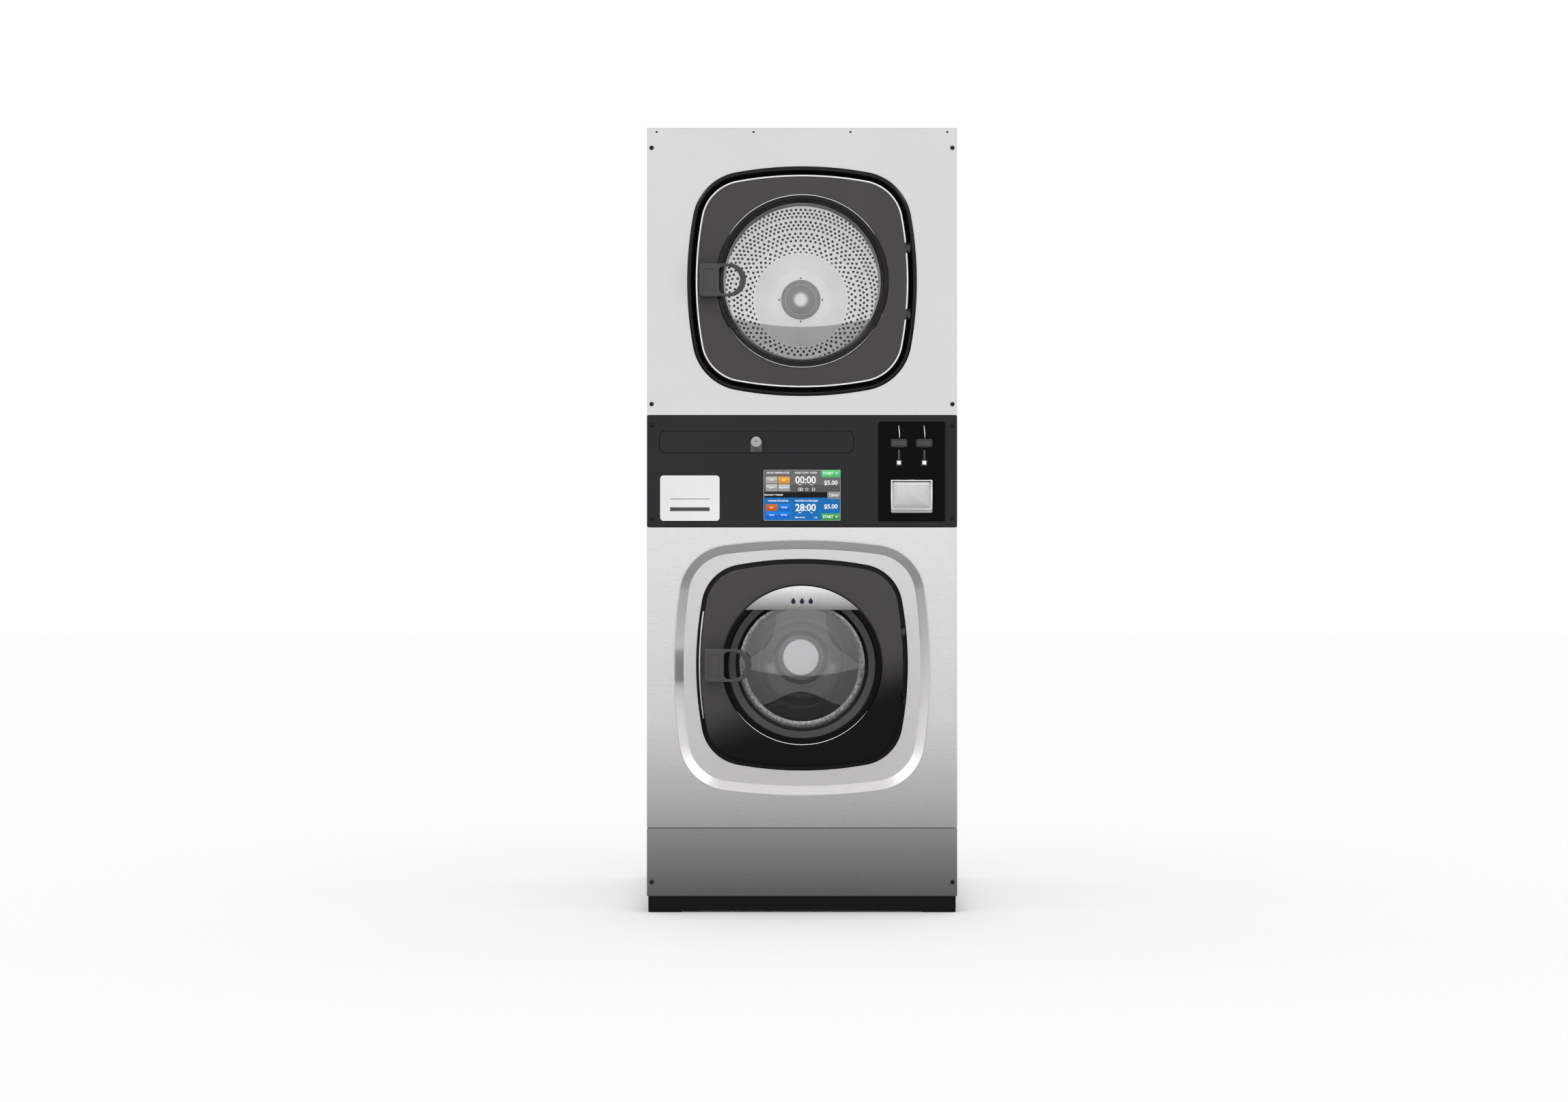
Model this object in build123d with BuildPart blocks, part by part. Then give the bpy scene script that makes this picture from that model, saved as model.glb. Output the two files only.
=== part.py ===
"""Coin-operated washer and dryer stacked in one cabinet: a front-loading washer-extractor below,
a tumble dryer above and a shared control band between them.

Frame: +Z up, +X to the right of a person facing the machine, -Y towards that person.
The origin is on the floor, under the middle of the machine's overall box. Millimetres.
A "depth" is a distance behind the plane of the front panels, so it grows towards the rear.
"""

import os
from math import sqrt

from build123d import *

os.makedirs("parts", exist_ok=True)

# ---------------------------------------------------------------- driving dimensions
# cabinet
cabinet_width = 785.0
cabinet_depth = 1050.0  # front panels to rear panels
cabinet_height = 1985.0
handle_reach = 50.0  # how far the door handles stand out of the front panels
collar_reach = 70.0  # how far the exhaust collar stands out of the rear
panel_sheet = 1.5
panel_flange = 30.0  # depth of the returned edges of a front panel
panel_seam = 1.6  # gap between two neighbouring panels
panel_corner = 2.0
panel_edge_r = 0.9

# heights of the seams between the front panels, and of the two drum axes
base_height = 41.0
kick_top = 213.0
washer_panel_top = 974.5
control_top = 1257.5
washer_axis_z = 626.0
dryer_axis_z = 1597.0

# base and chassis
foot_thickness = 9.0
foot_length = 110.0
foot_width = 85.0
foot_corner = 6.0
base_inset = 3.5
base_rail = 24.0
anchor_hole_r = 9.0
anchor_inset_x = 55.0  # hole centre from the side of the base
anchor_inset_y = 75.0  # hole centre from the front and rear panels
post = 28.0
post_sheet = 3.0  # posts and rails are folded angles
post_front = 34.0
blower_rail_depth = 894.0
lint_rail_depth = 504.0
motor_rail_depth = 900.0
lint_shelf_end = 150.0
lint_shelf_front = 62.0
shelf_sheet = 2.0

# screws
screw_inset = 12.0
screw_r = 5.0
screw_length = 14.0
screw_head = 3.2
screw_sink = 0.4
socket_r = 2.2
screw_hole_r = 5.6
small_screw_r = 2.4
small_screw_x = (-367.6, -122.5, 122.5, 367.6)
small_screw_drop = 10.5
kick_screw_z = 77.0
control_screw_z = (997.5, 1233.0)
dryer_screw_z = (1286.0, 1934.5)

# bowed-square outlines: half width, radius of the bowed sides, radius of the corners
door_half = 268.5
door_side_r = 900.0
door_corner_r = 112.0
bezel_rim_width = 22.0  # sloped rim of the washer bezel
bezel_band_width = 33.5  # flat band of the washer bezel, at its narrowest
bezel_side_r = 1450.0
bezel_corner_r = 110.0
bezel_drop = 7.0  # the washer bezel sits this far below the door's centre
bezel_depth = 16.0  # the flat band lies this far behind the panel
bezel_sheet = 2.0
fit_gap = 0.3
well_depth = 60.0
well_wall = 2.5
dryer_bezel_width = 22.0
dryer_bead_rise = 3.0
dryer_bead_outer = 4.0  # run of the bead's outer slope
dryer_bead_inner = 9.0  # where the inner slope starts, from the bezel's edge
dryer_slope_depth = 8.0
dryer_door_gap = 3.0
dryer_bezel_skin = 2.5
dryer_bezel_core = 10.0  # thickness of the bezel's inner wall

# washer door
washer_door_gap = 12.8  # between the door's edge and the bezel
washer_door_face = 4.0
washer_door_back = 48.0
door_shell = 3.0
door_edge_r = 2.5
washer_ring_margin = 52.7  # between the ring and the door's edge
washer_ring_band = 17.0  # flat outer band of the ring
washer_ring_width = 38.0
glass_lap = 5.0  # step from the ring down to the glass
glass_wall = 6.0
bowl_front = 20.0
bowl_back = 112.0
bowl_rim = 10.0  # flat rim of the glass bowl
bowl_taper = 58.0  # how much narrower the bowl's floor is than its mouth
badge_inset = 3.0  # from the ring's outer edge
badge_height = 60.5
badge_front = -7.0
badge_back = -1.2
badge_pill_lift = 22.5  # from the badge plate's lower edge to the pill's middle
badge_pill_length = 93.0
badge_pill_height = 28.0
badge_pill_rise = 1.5

# dryer door
dryer_door_face = -4.0
dryer_door_back = 30.0
dryer_ring_margin = 49.5  # between the ring and the door's edge
dryer_ring_width = 22.0
dryer_glass_rise = 14.0
dryer_glass_depth = 50.0
trim_width = 3.6
trim_rise = 1.6

# door hinges
pin_r = 1.8
barrel_r = 3.4
pin_clearance = 0.06
knuckle = 14.0  # length of the door's knuckle
outer_knuckle = 5.0  # length of each of the cabinet's two knuckles
knuckle_gap = 0.5
hinge_spread = 84.0  # hinge centres above and below the door's centre
washer_hinge_depth = 6.0
dryer_hinge_depth = -6.0
dryer_hinge_offset = 6.0  # hinge axis outside the dryer door's edge
hinge_pocket_depth = 17.0

# door handles
handle_length = 116.5
handle_height = 83.0
handle_thickness = 11.0
handle_left = 10.8  # handle's left end from the door's left edge
handle_corner_r = 7.0
handle_edge_r = 2.0
handle_block = 38.0
handle_recess = (8.5, 38.5)
handle_recess_height = 56.0
handle_recess_depth = 2.0
handle_recess_corner = 4.0
loop_start = 48.0
loop_end = 101.5
loop_r = 34.5
loop_corner_r = 11.0
lever_back = -12.0
lever_wall = 4.0
lever_pivot_x = 12.0  # from the handle's left end
lever_pivot_depth = -22.0
lever_pin_r = 2.5
lever_ear = 8.0
lever_ear_low = 12.0
lever_ear_high = 34.0
pedestal_front = -7.0
latch_width = 10.0
latch_height = 12.0
latch_swing = 9.0  # room for the latch arm's travel
latch_depths = (20.0, 28.0)
latch_reach = 5.0  # how far the latch tip stands out of the door's edge
latch_slot_depths = (18.0, 38.0)

# washer: tub, drum and drive
tub_r = 335.0
tub_wall = 3.0
tub_front = 100.0
tub_back = 720.0
mouth_lip = 12.0  # the tub's mouth is this much wider than the gasket
gasket_gap = 18.0  # between the glass rim and the gasket
gasket_wall = 3.5
washer_drum_r = 310.0
drum_wall = 2.0
washer_drum_front = 113.0
washer_drum_back = 704.0
washer_drum_mouth = 205.0
washer_shaft_r = 25.0
washer_cap_r = 49.0
washer_cap_height = 12.0
washer_lifter_height = 62.0
washer_lifter_base = 120.0
washer_lifter_top = 46.0
bearing_clearance = 0.06
hole_clearance = 3.0
washer_bearing_back = 860.0
washer_bearing_r = 75.0
washer_flange_r = 200.0
flange_sheet = 15.0
washer_pulley_r = 180.0
washer_pulley_depth = 880.0
pulley_width = 25.0
pulley_web = 8.0
washer_motor_r = 80.0
washer_motor_x = 150.0
washer_motor_z = 140.0
washer_motor_front = 640.0
washer_motor_pulley_r = 40.0
motor_gap = 5.0  # between a motor and its pulley
motor_shaft_r = 12.0
belt_thickness = 6.0
belt_clearance = 0.4

# dryer: shroud, drum and drive
shroud_r = 372.0
shroud_wall = 2.0
shroud_front = 64.0
shroud_back = 740.0
shroud_mouth_step = 23.0  # the shroud's mouth is this much wider than the door's ring
dryer_drum_r = 352.0
dryer_drum_front = 76.0
dryer_drum_back = 722.0
dryer_mouth_step = 4.0  # the drum's mouth is this much narrower than the shroud's
dryer_hub_r = 79.0
dryer_cone_r = 130.0
dryer_cone_height = 20.0
dryer_cap_r = 53.0
dryer_cap_height = 9.0
dryer_shaft_r = 20.0
dryer_lifter_height = 58.0
dryer_lifter_base = 84.0
dryer_lifter_top = 36.0
dryer_bearing_back = 795.0
dryer_bearing_r = 60.0
dryer_flange_r = 170.0
dryer_pulley_r = 200.0
dryer_pulley_depth = 815.0
dryer_motor_r = 68.0
dryer_motor_x = -240.0
dryer_motor_z = 1345.0
dryer_motor_back = 985.0
dryer_motor_pulley_r = 30.0
heater_width = 400.0
heater_z = (1815.0, 1950.0)
heater_back = 985.0
duct_sheet = 2.0

# blower and exhaust
blower_x = 190.0
blower_z = 1100.0
blower_front = 830.0
blower_back = 950.0
blower_r = 118.0
blower_inlet_r = 60.0
blower_wheel_r = 98.0
blower_blades = 18
blower_blade = 2.5
blower_motor_r = 50.0
blower_motor_front = 700.0
collar_r = 75.0
collar_wall = 2.0
collar_step = 2.0  # the duct is thicker up to here, behind the rear panels

# services at the rear
inlet_z = 880.0
inlet_x = (-220.0, -140.0)
inlet_r = 13.2
inlet_bore_r = 8.0
inlet_reach = 18.0
inlet_hole_r = 22.0
drain_z = 110.0
drain_x = -60.0
drain_r = 38.0
drain_wall = 3.0
drain_reach = 45.0
drain_valve_depth = 600.0
terminal_x = -250.0
terminal_z = 1070.0
terminal_width = 160.0
terminal_height = 120.0
terminal_depth = 90.0
gland_z = 1040.0
gland_r = 16.0
gland_bore_r = 9.0
gland_nut_r = 20.0
gland_nut = 6.0
gland_reach = 20.0
gland_bore_length = 40.0
louvre_count = 7
louvre_pitch = 26.0
louvre_length = 220.0
louvre_height = 8.0
louvre_z = 1560.0

# control band
fascia_rise = 3.0  # how far the fascias stand out of the control panel
fascia_lip = 7.0  # how far a fascia covers the panel round its hole
lint_width = 489.8
lint_height = 53.9
lint_x = -115.3
lint_z = 1190.5
lint_corner = 15.0
lint_seam = 1.3
lint_depth = 470.0
lint_travel_room = 5.0
tray_wall = 2.0
lint_flap = 3.0
lint_screen_drop = 10.0
lint_screen_bars = 5
lock_x = -116.0
lock_r = 13.0
lock_rise = 6.0
lock_shank_r = 9.0
lock_cam = 16.0
tab_width = 30.2
tab_drop = 28.0
tab_sheet = 2.0
reader_x = -283.7
reader_z = 1048.0
reader_width = 150.4
reader_height = 114.8
reader_corner = 8.6
reader_body = 70.0
card_slot_width = 100.0
card_slot_height = 9.7
card_slot_z = 1019.9
card_slot_depth = 60.0
card_slit_height = 2.0
card_slit_z = 1045.8
screen_x = 0.0
screen_z = 1055.3
screen_width = 195.0
screen_height = 129.0
screen_corner = 5.4
screen_body = 45.0
coin_x = 277.2
coin_z = 1115.7
coin_width = 168.0
coin_height = 251.8
coin_corner = 5.0
coin_spacing = 64.0
coin_slot_width = 3.4
coin_slot_height = 32.8
coin_slot_z = 1216.2
coin_chute_depth = 60.0
stem_slot_width = 4.9
stem_slot_z = (1143.5, 1170.3)
stem_box = 14.0
stem_box_z = 1137.2
stem_lamp = 8.5
mech_width = 50.0
mech_z = (1100.0, 1236.0)
mech_depths = (10.0, 96.0)
button_z = 1187.3
button_width = 35.0
button_height = 14.0
button_rise = 6.0
button_gap = 0.8
vault_z = 1048.7
vault_width = 105.4
vault_height = 77.3
vault_corner = 3.0
vault_cover = 6.0
vault_depth = 170.0
vault_gap = 0.6
vault_lock_r = 8.8
vault_cam = 24.0

# ---------------------------------------------------------------- places worked out from the above
half_width = cabinet_width / 2
front_y = handle_reach - (cabinet_depth + handle_reach + collar_reach) / 2
top_z = cabinet_height - panel_sheet
rear_inner = cabinet_depth - panel_sheet  # depth of the rear panels' inner faces
washer_door_half = door_half - washer_door_gap
hinge_bow = door_side_r - sqrt(door_side_r**2 - hinge_spread**2)  # how far the edge draws in there
well_clear = washer_door_gap - fit_gap - well_wall
washer_hinge_x = washer_door_half - hinge_bow + well_clear / 2
dryer_hinge_x = door_half - hinge_bow + dryer_hinge_offset
loop_nose = loop_end - loop_r
washer_ring_r = washer_door_half - washer_ring_margin
washer_ring_step = washer_ring_r - washer_ring_band
washer_ring_in = washer_ring_r - washer_ring_width
glass_rim_r = washer_ring_in - glass_lap
bowl_mouth_r = glass_rim_r - bowl_rim
bowl_floor_r = bowl_mouth_r - bowl_taper
badge_r = washer_ring_r - badge_inset
badge_chord = badge_r - badge_height
badge_pill_z = badge_chord + badge_pill_lift
gasket_r = glass_rim_r + gasket_gap
mouth_r = gasket_r + mouth_lip
dryer_ring_r = door_half - dryer_ring_margin
dryer_glass_r = dryer_ring_r - dryer_ring_width
shroud_mouth_r = dryer_ring_r + shroud_mouth_step
dryer_drum_mouth = shroud_mouth_r - dryer_mouth_step
washer_handle_x = -washer_door_half + handle_left
dryer_handle_x = -door_half + handle_left
well_floor = well_depth - well_wall
coin_columns = (coin_x - coin_spacing / 2, coin_x + coin_spacing / 2)


# ---------------------------------------------------------------- helpers that work in the part being built
def facing(depth, height=0.0, across=0.0):
    """Plane that faces the user at this depth. Its x is +X and its y is +Z."""
    return Plane((across, front_y + depth, height), x_dir=(1, 0, 0), z_dir=(0, -1, 0))


def slab(shape, depths, height=0.0, across=0.0, mode=Mode.ADD):
    """Extrude a sketch from front to rear between two depths."""
    with BuildSketch(facing(depths[0], height, across)) as face:
        add(shape)
    extrude(face.sketch, amount=depths[0] - depths[1], mode=mode)


def rod(place, radius, depths, mode=Mode.ADD):
    """Front-to-back cylinder at place (x, z)."""
    with BuildSketch(facing(depths[0], place[1], place[0])) as face:
        Circle(radius)
    extrude(face.sketch, amount=depths[0] - depths[1], mode=mode)


def upright(place, radius, heights, mode=Mode.ADD):
    """Vertical cylinder at place (x, depth)."""
    with BuildSketch(Plane((place[0], front_y + place[1], heights[0]))) as face:
        Circle(radius)
    extrude(face.sketch, amount=heights[1] - heights[0], mode=mode)


def block(across, depths, heights, mode=Mode.ADD):
    """Box between two values of x, of depth and of height."""
    centre = (sum(across) / 2, front_y + sum(depths) / 2, sum(heights) / 2)
    with Locations(centre):
        Box(across[1] - across[0], depths[1] - depths[0], heights[1] - heights[0], mode=mode)


def turned(points, height, across=0.0, mode=Mode.ADD):
    """Turned piece on a front-to-back axis. Each point is (depth, radius)."""
    axis_plane = Plane((across, front_y, height), x_dir=(0, 1, 0), z_dir=(1, 0, 0))
    with BuildSketch(axis_plane) as face:
        with BuildLine():
            Polyline(*points, close=True)
        make_face()
    revolve(face.sketch, axis=Axis((across, front_y, height), (0, 1, 0)), mode=mode)


def write(part, label):
    part.label = label
    export_step(part, f"parts/{label}.step")


# ---------------------------------------------------------------- shared shapes
def bowed_square(half, side_r, corner_r):
    """Square with bowed sides and round corners."""
    arc_centre = half - side_r
    corner = (arc_centre + sqrt(2 * side_r**2 - arc_centre**2)) / 2
    with BuildSketch() as outline:
        with BuildLine():
            for turn in range(4):
                side = [Vector(corner, -corner), Vector(half, 0), Vector(corner, corner)]
                ThreePointArc(*[point.rotate(Axis.Z, 90 * turn) for point in side])
        make_face()
        fillet(outline.vertices(), corner_r)
    return outline.sketch


def door_outline(outset=0.0):
    """The outline that both doors, the well and the dryer bezel share, moved out by outset."""
    return bowed_square(door_half + outset, door_side_r + outset, door_corner_r + outset)


def band_outline(outset=0.0):
    """The outline of the washer bezel's flat band, moved out by outset."""
    half = door_half + bezel_band_width + outset
    return bowed_square(half, bezel_side_r + outset, bezel_corner_r + outset)


def rounded(width, height, corner_r):
    with BuildSketch() as outline:
        RectangleRounded(width, height, corner_r)
    return outline.sketch


def front_tray(low, high):
    """Sheet-metal front panel: a tray with returned edges, open to the rear."""
    inner_width = cabinet_width - 2 * panel_sheet
    inner = rounded(inner_width, high - low - 2 * panel_sheet, panel_corner / 2)
    with BuildPart() as tray:
        slab(rounded(cabinet_width, high - low, panel_corner), (0, panel_flange), (low + high) / 2)
        slab(inner, (panel_sheet, panel_flange), (low + high) / 2, mode=Mode.SUBTRACT)
        fillet(tray.faces().sort_by(Axis.Y)[0].outer_wire().edges(), panel_edge_r)
    return tray.part


def screw_points(heights):
    x = half_width - screw_inset
    return [(side * x, z) for z in heights for side in (-1, 1)]


# ---------------------------------------------------------------- base
base_half = half_width - base_inset
with BuildPart() as base_frame:
    # two long side rails with a front, a middle and a rear rail between them
    for side in (-1, 1):
        rail_x = sorted((side * base_half, side * (base_half - base_rail)))
        block(rail_x, (base_inset, cabinet_depth - base_inset), (foot_thickness, base_height))
    rail_run = cabinet_depth - 2 * base_inset - base_rail
    for place in range(3):
        rail_front = base_inset + place * rail_run / 2
        inner_x = (base_rail - base_half, base_half - base_rail)
        block(inner_x, (rail_front, rail_front + base_rail), (foot_thickness, base_height))
write(base_frame.part, "base_frame")

foot_depth = base_inset + foot_length / 2
with BuildPart() as anchor_feet:
    foot = rounded(foot_width, foot_length, foot_corner)
    for side in (-1, 1):
        for depth in (foot_depth, cabinet_depth - foot_depth):
            with BuildSketch(Plane((side * (base_half - foot_width / 2), front_y + depth, 0))):
                add(foot)
            extrude(amount=foot_thickness)
        for depth in (anchor_inset_y, cabinet_depth - anchor_inset_y):
            hole = (side * (base_half - anchor_inset_x), depth)
            upright(hole, anchor_hole_r, (0, foot_thickness), mode=Mode.SUBTRACT)
write(anchor_feet.part, "anchor_feet")

# ---------------------------------------------------------------- chassis
def angle_rail(across, depths, top):
    """Angle with a flat top and a leg on the side nearer the front."""
    block(across, depths, (top - post_sheet, top))
    block(across, (depths[0], depths[0] + post_sheet), (top - post, top))


chassis_half = half_width - panel_sheet
deck_top = washer_panel_top
motor_rail_top = dryer_motor_z - dryer_motor_r
shelf_top = lint_z - lint_height / 2 - shelf_sheet
with BuildPart() as chassis_frame:
    for side in (-1, 1):
        post_x = sorted((side * chassis_half, side * (chassis_half - post)))
        web_x = sorted((side * chassis_half, side * (chassis_half - post_sheet)))
        rail_x = sorted((side * chassis_half, side * (chassis_half - post / 2)))
        post_z = (base_height, top_z)
        block(post_x, (post_front, post_front + post_sheet), post_z)
        block(web_x, (post_front, post_front + post), post_z)
        block(post_x, (rear_inner - post_sheet, rear_inner), post_z)
        block(web_x, (rear_inner - post, rear_inner), post_z)
        for rail_top in (deck_top, motor_rail_top, shelf_top - shelf_sheet, top_z):
            block(web_x, (post_front, rear_inner), (rail_top - post, rail_top))
            block(rail_x, (post_front, rear_inner), (rail_top - post_sheet, rail_top))
    # full-width rails: rear deck rail, then those under the blower, the dryer motor and the lint drawer
    for depth, rail_top in (
        (rear_inner - post / 2, deck_top),
        (blower_rail_depth, deck_top),
        (motor_rail_depth, motor_rail_top),
        (lint_rail_depth, shelf_top - shelf_sheet),
    ):
        full = (-chassis_half, chassis_half)
        angle_rail(full, (depth - post / 2, depth + post / 2), rail_top)
    shelf_x = (-chassis_half, lint_shelf_end)
    shelf_depths = (lint_shelf_front, lint_rail_depth + post / 2)
    block(shelf_x, shelf_depths, (shelf_top - shelf_sheet, shelf_top))
write(chassis_frame.part, "chassis_frame")

# ---------------------------------------------------------------- side, rear and top panels
side_front = panel_flange + panel_seam
for label, side in (("left_side_panel", -1), ("right_side_panel", 1)):
    with BuildPart() as side_panel:
        panel_x = sorted((side * half_width, side * chassis_half))
        block(panel_x, (side_front, cabinet_depth), (base_height, top_z))
    write(side_panel.part, label)

rear_x = (-chassis_half + fit_gap, chassis_half - fit_gap)
rear_depths = (rear_inner, cabinet_depth)
with BuildPart() as rear_panel_lower:
    block(rear_x, rear_depths, (base_height, washer_panel_top - panel_seam / 2))
    for x in inlet_x:
        rod((x, inlet_z), inlet_hole_r, rear_depths, mode=Mode.SUBTRACT)
    rod((drain_x, drain_z), drain_r + hole_clearance, rear_depths, mode=Mode.SUBTRACT)
write(rear_panel_lower.part, "rear_panel_lower")

with BuildPart() as rear_panel_upper:
    block(rear_x, rear_depths, (washer_panel_top + panel_seam / 2, top_z - fit_gap))
    rod((blower_x, blower_z), collar_r + hole_clearance, rear_depths, mode=Mode.SUBTRACT)
    rod((terminal_x, gland_z), gland_r + hole_clearance, rear_depths, mode=Mode.SUBTRACT)
    with BuildSketch(facing(rear_inner)):
        with Locations((0, louvre_z)):
            with GridLocations(0, louvre_pitch, 1, louvre_count):
                SlotOverall(louvre_length, louvre_height)
    extrude(amount=-panel_sheet, mode=Mode.SUBTRACT)
write(rear_panel_upper.part, "rear_panel_upper")

with BuildPart() as top_panel:
    with BuildSketch(Plane((0, front_y + cabinet_depth / 2, top_z))):
        RectangleRounded(cabinet_width, cabinet_depth, panel_corner)
    extrude(amount=panel_sheet)
write(top_panel.part, "top_panel")

# ---------------------------------------------------------------- front panels
cut_through = (-panel_sheet, 2 * panel_sheet)
kick_tray = front_tray(base_height, kick_top - panel_seam / 2)
washer_tray = front_tray(kick_top + panel_seam / 2, washer_panel_top - panel_seam / 2)
control_tray = front_tray(washer_panel_top + panel_seam / 2, control_top - panel_seam / 2)
dryer_tray = front_tray(control_top + panel_seam / 2, top_z)
bezel_z = washer_axis_z - bezel_drop

with BuildPart() as kick_panel:
    add(kick_tray)
    for place in screw_points([kick_screw_z]):
        rod(place, screw_hole_r, cut_through, mode=Mode.SUBTRACT)
write(kick_panel.part, "kick_panel")

with BuildPart() as washer_front_panel:
    add(washer_tray)
    slab(band_outline(bezel_rim_width + fit_gap), cut_through, bezel_z, mode=Mode.SUBTRACT)
write(washer_front_panel.part, "washer_front_panel")

with BuildPart() as dryer_front_panel:
    add(dryer_tray)
    slab(door_outline(dryer_bezel_width + fit_gap), cut_through, dryer_axis_z, mode=Mode.SUBTRACT)
    for place in screw_points(dryer_screw_z):
        rod(place, screw_hole_r, cut_through, mode=Mode.SUBTRACT)
    for x in small_screw_x:
        place = (x, cabinet_height - small_screw_drop)
        rod(place, small_screw_r + fit_gap, cut_through, mode=Mode.SUBTRACT)
write(dryer_front_panel.part, "dryer_front_panel")

reader_hole = rounded(reader_width - 2 * fascia_lip, reader_height - 2 * fascia_lip, panel_corner)
screen_hole = rounded(screen_width - 2 * fascia_lip, screen_height - 2 * fascia_lip, panel_corner)
coin_hole = rounded(coin_width - 2 * fascia_lip, coin_height - 2 * fascia_lip, panel_corner)
lint_hole = rounded(lint_width + 2 * lint_seam, lint_height + 2 * lint_seam, lint_corner + lint_seam)
with BuildPart() as control_panel:
    add(control_tray)
    for place in screw_points(control_screw_z):
        rod(place, screw_hole_r, cut_through, mode=Mode.SUBTRACT)
    slab(lint_hole, cut_through, lint_z, lint_x, mode=Mode.SUBTRACT)
    slab(reader_hole, cut_through, reader_z, reader_x, mode=Mode.SUBTRACT)
    slab(screen_hole, cut_through, screen_z, screen_x, mode=Mode.SUBTRACT)
    slab(coin_hole, cut_through, coin_z, coin_x, mode=Mode.SUBTRACT)
write(control_panel.part, "control_panel")

with BuildPart() as panel_screws:
    # button-head socket screws, with heads sunk just below the panel faces
    for place in screw_points([kick_screw_z, *control_screw_z, *dryer_screw_z]):
        rod(place, screw_r, (screw_sink, screw_sink + screw_head))
        rod(place, screw_r / 2, (screw_sink + screw_head, screw_length))
        with BuildSketch(facing(screw_sink, place[1], place[0])):
            RegularPolygon(socket_r, 6)
        extrude(amount=-screw_head / 2, mode=Mode.SUBTRACT)
    for x in small_screw_x:
        rod((x, cabinet_height - small_screw_drop), small_screw_r, (screw_sink, screw_length / 2))
write(panel_screws.part, "panel_screws")

# ---------------------------------------------------------------- washer bezel, well and gasket
with BuildPart() as washer_bezel:
    # a sloped rim, then a flat band round the door well
    with BuildSketch(facing(0, bezel_z)):
        add(band_outline(bezel_rim_width))
    with BuildSketch(facing(bezel_depth + bezel_sheet, bezel_z)):
        add(band_outline())
    loft()
    with BuildSketch(facing(0, bezel_z)):
        add(band_outline(bezel_rim_width - bezel_sheet))
    with BuildSketch(facing(bezel_depth, bezel_z)):
        add(band_outline(-bezel_sheet))
    loft(mode=Mode.SUBTRACT)
    slab(door_outline(), (0, bezel_depth + bezel_sheet), washer_axis_z, mode=Mode.SUBTRACT)
write(washer_bezel.part, "washer_bezel")

with BuildPart() as washer_door_well:
    slab(door_outline(-fit_gap), (bezel_depth, well_depth), washer_axis_z)
    slab(door_outline(-fit_gap - well_wall), (bezel_depth, well_floor), washer_axis_z, mode=Mode.SUBTRACT)
    rod((0, washer_axis_z), mouth_r - 2, (well_floor, well_depth), mode=Mode.SUBTRACT)
write(washer_door_well.part, "washer_door_well")

with BuildPart() as washer_gasket:
    # rubber boot from the door well back to the tub's mouth, with one fold
    turned(
        (
            (washer_door_back + 1.5, gasket_r),
            (washer_door_back + 1.5, gasket_r + gasket_wall),
            (well_depth + 3, mouth_r - 2 - fit_gap),
            (well_depth + 12, mouth_r + 6),
            (well_depth + 20, mouth_r + 6),
            (tub_front, mouth_r - 1),
            (tub_front, mouth_r - 6),
            (well_depth + 19, mouth_r + 1),
            (well_depth + 13, mouth_r + 1),
            (well_depth + 8, gasket_r + 1),
        ),
        washer_axis_z,
    )
write(washer_gasket.part, "washer_gasket")

# ---------------------------------------------------------------- dryer bezel
pocket_half = knuckle / 2 + knuckle_gap + outer_knuckle + 1.0
with BuildPart() as dryer_bezel:
    # a raised bead, a slope down to the gap round the door, and a well behind the door
    slab(door_outline(dryer_bezel_width), (0, well_floor), dryer_axis_z)
    with BuildSketch(facing(0, dryer_axis_z)):
        add(door_outline(dryer_bezel_width))
    with BuildSketch(facing(-dryer_bead_rise, dryer_axis_z)):
        add(door_outline(dryer_bezel_width - dryer_bead_outer))
    loft()
    with BuildSketch(facing(-dryer_bead_rise, dryer_axis_z)):
        add(door_outline(dryer_bezel_width - dryer_bead_inner))
    with BuildSketch(facing(dryer_slope_depth, dryer_axis_z)):
        add(door_outline(dryer_door_gap))
    loft(mode=Mode.SUBTRACT)
    floor_depth = well_floor - well_wall
    slab(door_outline(dryer_door_gap), (0, floor_depth), dryer_axis_z, mode=Mode.SUBTRACT)
    rod((0, dryer_axis_z), shroud_mouth_r, (floor_depth, well_floor), mode=Mode.SUBTRACT)
    # the moulding is hollow behind the bead
    with BuildSketch(facing(dryer_bezel_skin, dryer_axis_z)):
        add(door_outline(dryer_bezel_width - dryer_bezel_skin))
        add(door_outline(dryer_door_gap + dryer_bezel_core), mode=Mode.SUBTRACT)
    extrude(amount=-well_depth, mode=Mode.SUBTRACT)
    for side in (-1, 1):
        pocket_z = dryer_axis_z + side * hinge_spread
        pocket_x = (dryer_hinge_x - 8.0, dryer_hinge_x + barrel_r + 0.6)
        pocket_depths = (-2 * dryer_bead_rise, hinge_pocket_depth)
        pocket_heights = (pocket_z - pocket_half, pocket_z + pocket_half)
        block(pocket_x, pocket_depths, pocket_heights, mode=Mode.SUBTRACT)
write(dryer_bezel.part, "dryer_bezel")


# ---------------------------------------------------------------- hinges
def fixed_hinge(x, depth, z, leaf_back):
    """Cabinet half of one hinge: two knuckles on a bracket, and the pin."""
    outer = knuckle / 2 + knuckle_gap + outer_knuckle
    upright((x, depth), barrel_r, (z - outer, z + outer))
    block((x - 1.5, x + 3.0), (depth, leaf_back), (z - outer, z + outer))
    room_x = (x - 2 * barrel_r, x + 2 * barrel_r)
    room_z = (z - knuckle / 2 - knuckle_gap, z + knuckle / 2 + knuckle_gap)
    block(room_x, (depth - 2 * barrel_r, depth + 2.4 * barrel_r), room_z, mode=Mode.SUBTRACT)
    upright((x, depth), pin_r, (z - outer, z + outer))


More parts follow.
